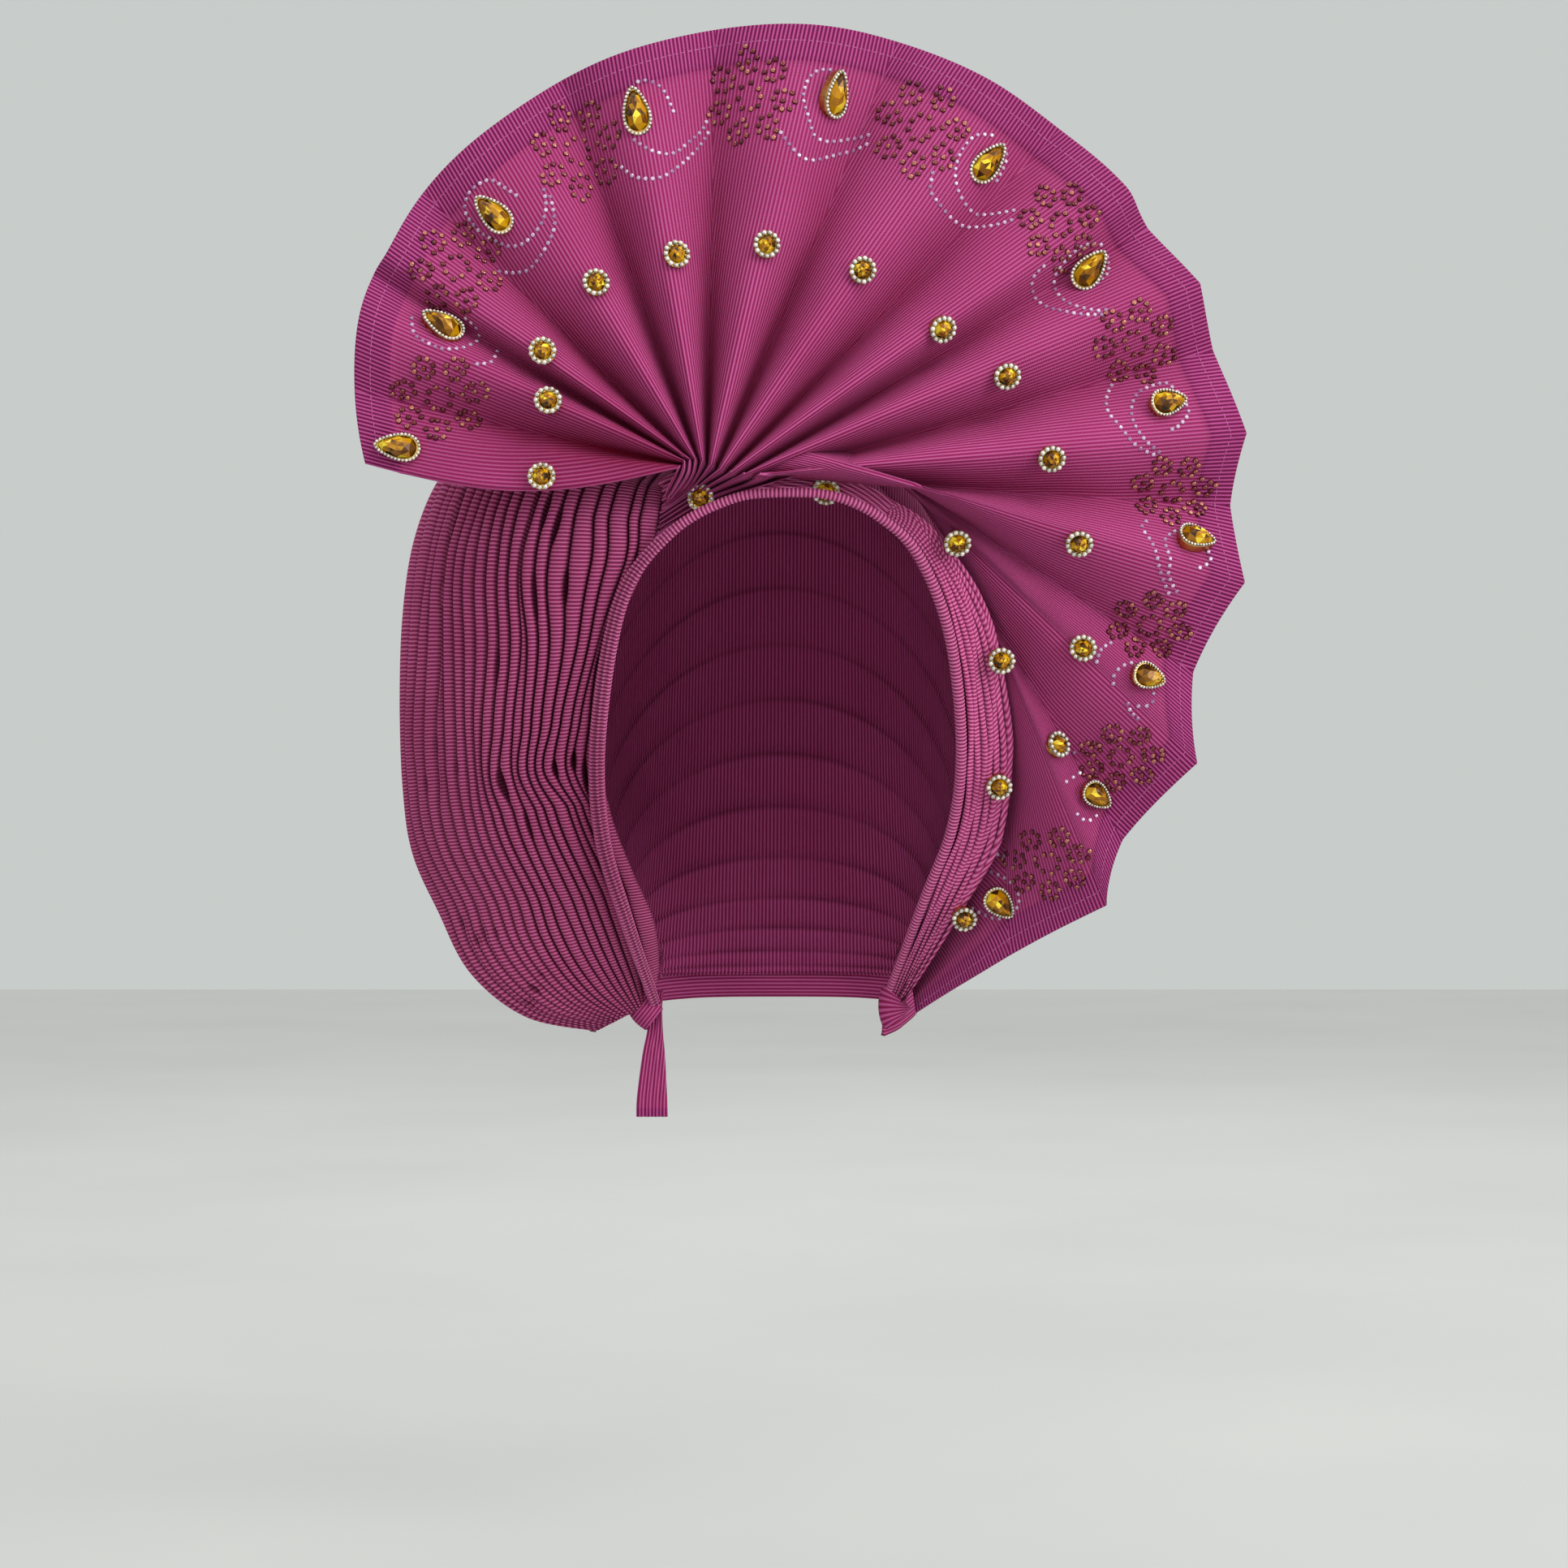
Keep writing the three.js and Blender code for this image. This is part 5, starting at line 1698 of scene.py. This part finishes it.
@dataclass
class NapeBand:
    """The strap behind the neck and the free tail beside it."""

    height: float = 11.0
    stations: int = 150
    ribs: int = 9
    rounding: float = 0.5
    strap_wall: float = 1.6
    tail_rows: int = 48
    tail_columns: int = 17
    tail_folds: int = 4
    tail_depth: float = 0.7
    tail_hem: float = 4.0
    tail_wall: float = 1.2

    def build(self) -> None:
        """Build the strap and the tail."""
        self._strap()
        self._tail()

    def _strap(self) -> None:
        """Carry an upright band with softly rounded edges along the strap's path."""
        at = np.linspace(0, len(STRAP) - 1, self.stations)
        centre = catmull(STRAP, at)
        inward = unit((np.array([0, CAP.nape_y, 0]) - centre) * [1, 1, 0])
        share = np.linspace(-1, 1, self.ribs)
        grid = centre[:, None] + inward[:, None] * (self.rounding * share ** 4)[:, None]
        grid = grid + np.array([0, 0, 1]) * (self.height / 2 * share)[:, None]
        rise = np.broadcast_to(self.height / 2 * share, grid.shape[:2])
        rib = np.stack([rise, rise], -1)
        zone = plain_zone(np.zeros(grid.shape[:2]))
        made = add_cloth("nape_strap_cloth", grid, rib, zone, -inward[:, None], CAP_CLOTH, self.strap_wall)
        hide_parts("nape_strap")

    def _tail(self) -> None:
        """Hang a narrow strip with lengthwise folds that widens downward to its hemmed end."""
        at = np.linspace(0, len(TAIL) - 1, self.tail_rows)
        row = catmull(TAIL, at)
        share = np.linspace(-0.5, 0.5, self.tail_columns)
        x = row[:, :1] + row[:, 3:] * share
        folds = np.sin(np.pi * self.tail_folds * (share + 0.5)) ** 2
        y = row[:, 1:2] - self.tail_depth * folds
        grid = np.stack([x, y, np.broadcast_to(row[:, 2:3], x.shape)], -1)
        across = run_length(grid, 1)
        rib = np.stack([across, across], -1)
        from_end = np.broadcast_to((row[:, 2:3] - TAIL[-1, 2]) * self.tail_hem, x.shape)
        zone = np.stack([from_end, np.zeros_like(x)], -1)
        made = add_cloth("tail_cloth", grid, rib, zone, FRONT, CAP_CLOTH, self.tail_wall)
        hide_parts("tie_tail")


class Cut(Enum):
    """Outlines of the stones."""

    TEARDROP = "teardrop_stone"
    ROUND = "round_stone"

    def outline(self, angle: Array) -> Array:
        """Draw the outline at a half-size of 1: a circle, drawn in toward its tip for a teardrop.

        Args:
            angle: angles from the tip.

        Returns:
            Side and long coordinates.
        """
        if self is Cut.ROUND:
            return np.stack([np.sin(angle), np.cos(angle)], -1)
        side = np.sin(angle) * (1 - DROP_TAPER * np.cos(angle / 2) ** 2) / DROP_WIDEST
        return np.stack([side, np.cos(angle)], -1)

    @property
    def gem(self) -> float:
        """Give the gem's size as a share of the stone's."""
        return 0.80 if self is Cut.TEARDROP else 0.64

    @property
    def halo(self) -> float:
        """Give the size of the ring of beads as a share of the stone's."""
        return 0.89 if self is Cut.TEARDROP else 0.82

    @property
    def beads(self) -> int:
        """Give the number of beads."""
        return 30 if self is Cut.TEARDROP else 13


@dataclass
class Stones:
    """The amber stones, each cut in facets, in a gilt wall with a halo of silver beads."""

    facets: int = 8
    wall_sides: int = 28
    bead_sides: int = 7
    samples: int = 720
    facing: float = 0.5
    lift: float = 0.4
    most_shift: float = 6.0
    sunk: float = 0.6
    base_layer: float = 0.2
    # Painted light on the gem facets: a mean, a swing toward a lit side, its turn from stone to stone, a
    # random spread.
    mean_tone: float = 0.46
    tone_swing: float = 0.2
    tone_turn: float = 0.7
    tone_spread: float = 0.2
    wall_tone: float = 0.6
    wall_inside: float = 0.98
    wall_lip: float = 0.02
    bead_level: float = 0.44
    gem_rings: Rings = ((1.0, 0.34, 0.0), (0.72, 0.78, 0.5), (0.42, 1.0, 0.0))
    wall_rings: Rings = ((0.90, -0.30), (0.93, 0.0), (0.96, 0.30), (0.94, 0.38))
    bead_rings: Rings = ((0.5, -0.86), (0.92, -0.38), (0.98, 0.2), (0.72, 0.7), (0.3, 0.95))
    # Painted light: beads dark underneath, light on top.
    bead_shading: Row = (0.1, 0.4, 0.7, 0.9)

    def build(self, fan: Fan) -> None:
        """Dress every stone of the part.

        Args:
            fan: the cloth that carries most of them.
        """
        kinds = tuple(cut.value for cut in Cut)
        names = sorted(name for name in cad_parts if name.startswith(kinds))
        for number, name in enumerate(names):
            self._stone(name, number, fan)

    def _axes(self, name: str) -> tuple[Array, Array, Array, float]:
        """Read a stone's seat from its solid, whose flattest direction is its normal.

        A round stone is turned a little to the front, and a teardrop as its table says.

        Args:
            name: the stone's node.

        Returns:
            Middle of its base, its side, long and normal directions, its half-sizes along them, and its lift.
        """
        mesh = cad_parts[name].data
        flat = np.empty(len(mesh.vertices) * 3)
        mesh.vertices.foreach_get("co", flat)
        points = np.unique(np.round(flat.reshape(-1, 3) / MM, 3), axis=0)
        normal = np.linalg.svd(points - points.mean(0))[2][2]
        normal = normal * (-1 if normal[1] > 0 else 1)
        level = points @ normal
        base = points[level < level.min() + self.base_layer]
        middle = (base.min(0) + base.max(0)) / 2
        middle = middle + normal * (level.min() - middle @ normal)
        away = np.array([middle[0] - PINCH[0], 0, middle[2] - PINCH[1]])
        long = unit(away - normal * (away @ normal))
        side = np.cross(long, normal)
        spread = base - middle
        lengths = spread @ long
        middle = middle + long * (lengths.max() + lengths.min()) / 2
        half = np.array([np.abs(spread @ side).max(), (lengths.max() - lengths.min()) / 2, np.ptp(level)])
        normal, lift = unit(normal + self.facing * FRONT), self.lift
        if name.startswith(Cut.TEARDROP.value):
            turn, share, tilt, roll, lift = TEARDROPS[int(name[-2:]) - 1]
            angle = np.arctan2(away[2], away[0]) + np.radians(turn)
            out = np.array([np.cos(angle), 0, np.sin(angle)])
            across = np.array([-np.sin(angle), 0, np.cos(angle)])
            normal = unit(FRONT + np.tan(np.radians(tilt)) * out + np.tan(np.radians(roll)) * across)
            long, half[1] = out, half[1] * share
        long = unit(long - normal * (long @ normal))
        return middle, np.array([np.cross(long, normal), long, normal]), half, lift

    def _stone(self, name: str, number: int, fan: Fan) -> None:
        """Build one stone: facets between three rings, a table of triangles, the wall and the halo.

        Args:
            name: the stone's node.
            number: its number, which turns the pattern of tones.
            fan: the cloth it may sit on.
        """
        cut = Cut.TEARDROP if name.startswith(Cut.TEARDROP.value) else Cut.ROUND
        middle, axes, half, lift = self._axes(name)
        points, _, met = fan.seat(middle[None, [0, 2]])
        seated = met.all() and abs(points[0, 1] - middle[1]) < self.most_shift
        if seated:
            middle[1] = points[0, 1]
        middle = middle + axes[2] * lift
        local, faces = self._gem(cut)
        wall, quads = self._wall(cut)
        middles = local[faces].mean(1)
        turn = np.arctan2(middles[:, 0], middles[:, 1])
        # Painted light: each facet's tone, lighter toward a side that turns from stone to stone, with a
        # threefold swing and random spread.
        lit = self.mean_tone + self.tone_swing * np.cos(turn - self.tone_turn * number)
        lit = lit + self.tone_swing * np.cos(3 * turn + number)
        loose = np.random.default_rng(SEED + number).normal(0, self.tone_spread, len(faces))
        patches = [
            self._patch(faces, np.clip(lit + loose, 0, 1), 0),
            self._patch(quads + len(local), np.full(len(quads), self.wall_tone), 1),
        ]
        placed = np.concatenate([local, wall]) * half
        world = middle + placed[:, :1] * axes[0] + placed[:, 1:2] * axes[1] + placed[:, 2:] * axes[2]
        if seated:
            cloth, _, met = fan.seat(world[:, [0, 2]])
            world[met, 1] = np.minimum(world[met, 1], cloth[:, 1] + self.sunk)
        beads, bead_patches = self._halo(cut, middle, axes, half, len(world))
        points = np.concatenate([world, beads])
        label = name.replace("_stone", "")
        made = add_piece(label, points, patches + bead_patches, [AMBER, GILT, SILVER])
        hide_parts(name)

    @staticmethod
    def _patch(faces: Array, tone: Array, finish: int) -> Patch:
        """Give each face one tone at all its corners."""
        corners = np.broadcast_to(tone[:, None, None], (len(faces), faces.shape[1], 2))
        return Patch(faces, {"facet": corners}, finish, False)

    def _gem(self, cut: Cut) -> tuple[Array, Array]:
        """Cut the stone's crown: rings, each turned half a facet from the last, and a table.

        Args:
            cut: the outline.

        Returns:
            Points at half-sizes of 1, and triangles.
        """
        count = self.facets
        step = TURN / count
        here = np.arange(count)
        layers = []
        for size, height, turn in self.gem_rings:
            ring = cut.gem * size * cut.outline((here + turn) * step)
            layers.append(np.column_stack([ring, np.full(count, height)]))
        points = np.concatenate(layers + [np.array([[0.0, 0.0, 1.0]])])
        ahead, back = (here + 1) % count, (here - 1) % count
        faces = []
        for level in range(len(layers) - 1):
            low, high = level * count, (level + 1) * count
            if level % 2 == 0:
                faces.append(np.stack([low + here, low + ahead, high + here], -1))
                faces.append(np.stack([low + ahead, high + ahead, high + here], -1))
            else:
                faces.append(np.stack([low + back, low + here, high + here], -1))
                faces.append(np.stack([low + here, high + ahead, high + here], -1))
        top = (len(layers) - 1) * count
        faces.append(np.stack([top + here, top + ahead, np.full(count, len(points) - 1)], -1))
        return points, np.concatenate(faces)[:, ::-1]

    def _wall(self, cut: Cut) -> tuple[Array, Array]:
        """Raise the gilt wall from under the cloth to a rim that holds the stone.

        Args:
            cut: the outline.

        Returns:
            Points at half-sizes of 1, and quads.
        """
        angle = np.arange(self.wall_sides) * TURN / self.wall_sides
        inner = cut.gem * self.wall_inside
        under, top = self.wall_rings[-2][1], self.wall_rings[-1][1]
        size, height = np.array([*self.wall_rings, (inner, top), (inner - self.wall_lip, under)]).T[..., None]
        rings = size[..., None] * cut.outline(angle)
        level = np.broadcast_to(height[..., None], (*rings.shape[:2], 1))
        points = np.concatenate([rings, level], -1).reshape(-1, 3)
        return points, tube_quads(len(size), self.wall_sides)[:, ::-1]

    def _halo(
        self, cut: Cut, middle: Array, axes: Array, half: Array, offset: int
    ) -> tuple[Array, list[Patch]]:
        """Set silver beads evenly round the rim.

        Args:
            cut: the outline.
            middle: middle of the base.
            axes: side, long and normal directions.
            half: half-sizes along them.
            offset: points already in the piece.

        Returns:
            Points and patches of the beads.
        """
        dense = cut.outline(np.linspace(0, TURN, self.samples)) * half[:2] * cut.halo
        run = run_length(dense, 0)
        radius = 0.5 * run[-1] / cut.beads
        ring = at_lengths(dense, run, np.arange(cut.beads) * run[-1] / cut.beads)
        rise = axes[2] * (self.bead_level * half[2])
        centres = middle + ring[:, :1] * axes[0] + ring[:, 1:] * axes[1] + rise
        bead = Stamp.lathe(np.array(self.bead_rings), self.bead_shading, self.bead_sides)
        return bead.copies(centres, np.broadcast_to(axes * radius, (cut.beads, 3, 3)), 2, True, offset)


@dataclass
class Studs:
    """Stud flowers and crystal swags set on the fan's cloth."""

    petals: int = 7
    petal_reach: float = 13.0
    petal_size: float = 3.7
    petal_studs: int = 8
    ring_studs: int = 8
    ring_reach: float = 4.5
    stud: float = 1.08
    crystal: float = 0.78
    crystal_step: float = 2.6
    petal_shape: Span = (1.12, 0.95)
    loose: float = 0.3
    samples: int = 200
    sides: int = 8
    stud_form: Rings = ((1.0, -0.3), (1.0, 0.25), (0.78, 0.6), (0.36, 0.8))
    # Painted light: studs dark on their sides, light on their tops.
    stud_shading: Row = (0.12, 0.36, 0.74)
    crystal_form: Rings = ((0.9, -0.3), (1.0, 0.25), (0.6, 0.7))
    # Painted light: crystals darker on their sides than on their tops.
    crystal_shading: Row = (0.4, 0.75)

    def build(self, fan: Fan) -> None:
        """Set the flowers and the swags on the cloth.

        Args:
            fan: the cloth that carries them.
        """
        dome = Stamp.lathe(np.array(self.stud_form), self.stud_shading, self.sides)
        chip = Stamp.lathe(np.array(self.crystal_form), self.crystal_shading, self.sides)
        self._set("stud_flowers", dome, fan, self._flowers(), self.stud, STUD)
        self._set("crystal_swags", chip, fan, self._swags(), self.crystal, CRYSTAL)

    @staticmethod
    def _set(name: str, stamp: Stamp, fan: Fan, places: Array, size: float, finish: FacetFinish) -> None:
        """Seat one stamp at each place, upright on the cloth.

        Args:
            name: the piece's name.
            stamp: the shape.
            fan: the cloth.
            places: x and z of each copy.
            size: its radius.
            finish: its finish.
        """
        points, normals, _ = fan.seat(places)
        side = unit(np.cross(normals, [0.0, 0.0, 1.0]))
        axes = np.stack([side, np.cross(normals, side), normals], 1) * size
        stamp.place(name, points, axes, finish, "stone")

    def _flowers(self) -> Array:
        """Lay out the flowers: a ring of studs, and petals that are each a loop with a stud in its middle.

        Returns:
            x and z of every stud.
        """
        ring = np.arange(self.ring_studs) * TURN / self.ring_studs
        middle = self.ring_reach * np.stack([np.cos(ring), np.sin(ring)], -1)
        loop = np.arange(self.petal_studs) * TURN / self.petal_studs
        oval = self.petal_size * (np.stack([np.cos(loop), np.sin(loop)], -1) * self.petal_shape)
        petal = np.concatenate([oval, np.zeros((1, 2))]) + [self.petal_reach, 0]
        turn = np.arange(self.petals) * TURN / self.petals
        flower = np.concatenate([middle, (petal @ spins(turn)).reshape(-1, 2)])
        face = spins(np.radians(FLOWERS[:, 2]))
        loose = np.random.default_rng(SEED).normal(0, self.loose, (len(FLOWERS), len(flower), 2))
        return (FLOWERS[:, None, :2] + (flower @ face + loose) * FLOWERS[:, None, 3:]).reshape(-1, 2)

    def _swags(self) -> Array:
        """Lay out the crystals at even steps along a smooth curve through each line's points.

        Returns:
            x and z of every crystal.
        """
        places = []
        for points in SWAGS:
            line = catmull(points, np.linspace(0, len(points) - 1, self.samples))
            run = run_length(line, 0)
            stops = np.linspace(0, run[-1], int(round(run[-1] / self.crystal_step)) + 1)
            places.append(at_lengths(line, run, stops))
        return np.concatenate(places)


@dataclass
class Studio:
    """Pale floor, soft light, and the camera at the photo's place."""

    floor_z: float = -0.47
    floor_half: float = 4.0
    above: Colour = linear(255, 255, 255)
    level: Colour = linear(200, 204, 202)
    below: Colour = linear(80, 80, 80)
    overhead: float = 1.5
    up_between: Span = (0.3, 1.0)
    down_between: Span = (0.3, 0.8)
    floor_dark: Colour = linear(172, 173, 171)
    floor_pale: Colour = linear(184, 185, 182)
    floor_patches: float = 3.0
    floor_roughness: float = 0.9
    aim: Place = (0.0, 0.0, -0.1)
    lights: tuple[tuple[str, Place, float, float], ...] = (
        ("key", (0.9, -1.3, 1.4), 1.0, 14.0),
        ("right", (2.3, -1.5, 0.5), 1.2, 33.0),
        ("left", (-0.7, -2.0, 0.5), 1.4, 6.0),
        ("back", (0.3, 1.8, 1.2), 1.2, 10.0),
    )

    def build(self) -> None:
        """Set up floor, world, lights and camera."""
        self._floor()
        self._world()
        for light in self.lights:
            self._light(*light)
        self._camera()
        bpy.context.scene.view_settings.view_transform = "Standard"

    def _floor(self) -> None:
        """Lay a pale floor whose tone wanders slightly."""
        corner = self.floor_half
        points = [(-corner, -corner, self.floor_z), (corner, -corner, self.floor_z),
                  (corner, corner, self.floor_z), (-corner, corner, self.floor_z)]
        mesh = bpy.data.meshes.new("floor")
        mesh.from_pydata(points, [], [(0, 1, 2, 3)])
        made, graph, shader = start_material("pale_floor")
        patches = graph.noise(graph.place(), self.floor_patches, 3.0)
        graph.feed(shader.inputs["Base Color"], graph.mix(patches, self.floor_dark, self.floor_pale))
        graph.feed(shader.inputs["Roughness"], self.floor_roughness)
        mesh.materials.append(made)
        floor = bpy.data.objects.new("floor", mesh)
        bpy.context.scene.collection.objects.link(floor)

    def _world(self) -> None:
        """Fill the surroundings with pale light, stronger from overhead and weaker from below."""
        world = bpy.data.worlds.new("studio")
        world.use_nodes = True
        graph = Graph(world.node_tree)
        split = graph.add("ShaderNodeSeparateXYZ")
        graph.feed(split.inputs[0], graph.add("ShaderNodeTexCoord").outputs["Generated"])
        up = graph.rise(split.outputs[2], *self.up_between)
        down = graph.rise(graph.math("MULTIPLY", split.outputs[2], -1.0), *self.down_between)
        tone = graph.mix(down, graph.mix(up, self.level, self.above), self.below)
        ground = world.node_tree.nodes["Background"]
        graph.feed(ground.inputs["Color"], tone)
        graph.feed(ground.inputs["Strength"], graph.math("MULTIPLY_ADD", up, self.overhead - 1.0, 1.0))
        bpy.context.scene.world = world

    def _light(self, name: str, at: Place, size: float, watts: float) -> None:
        """Hang a square soft light that faces the tie.

        Args:
            name: the light's name.
            at: its place in metres.
            size: its width in metres.
            watts: its power.
        """
        lamp = bpy.data.lights.new(name, "AREA")
        lamp.size = size
        lamp.energy = watts
        made = bpy.data.objects.new(name, lamp)
        made.location = at
        aim = Vector(self.aim) - Vector(at)
        made.rotation_euler = aim.to_track_quat("-Z", "Y").to_euler()
        bpy.context.scene.collection.objects.link(made)

    @staticmethod
    def _camera() -> None:
        """Stand the camera where the photo was taken from, level and looking at the face."""
        lens = bpy.data.cameras.new("camera")
        lens.sensor_fit = "HORIZONTAL"
        lens.angle = 2 * np.arctan(VIEW.middle * VIEW.pixel / VIEW.distance)
        made = bpy.data.objects.new("camera", lens)
        made.location = (VIEW.x * MM, -VIEW.distance * MM, VIEW.z * MM)
        made.rotation_euler = (np.pi / 2, 0, 0)
        bpy.context.scene.collection.objects.link(made)
        bpy.context.scene.camera = made


def main() -> None:
    """Build the tie piece by piece."""
    logging.basicConfig(level=logging.INFO, format="%(message)s")
    Studio().build()
    CrownCap().build()
    BrowRopes().build()
    FaceRoll().build()
    SideWrap().build()
    NapeBand().build()
    Bindings().build()
    fan = Fan()
    fan.build()
    Stones().build(fan)
    Studs().build(fan)


if __name__ == "__main__":
    main()
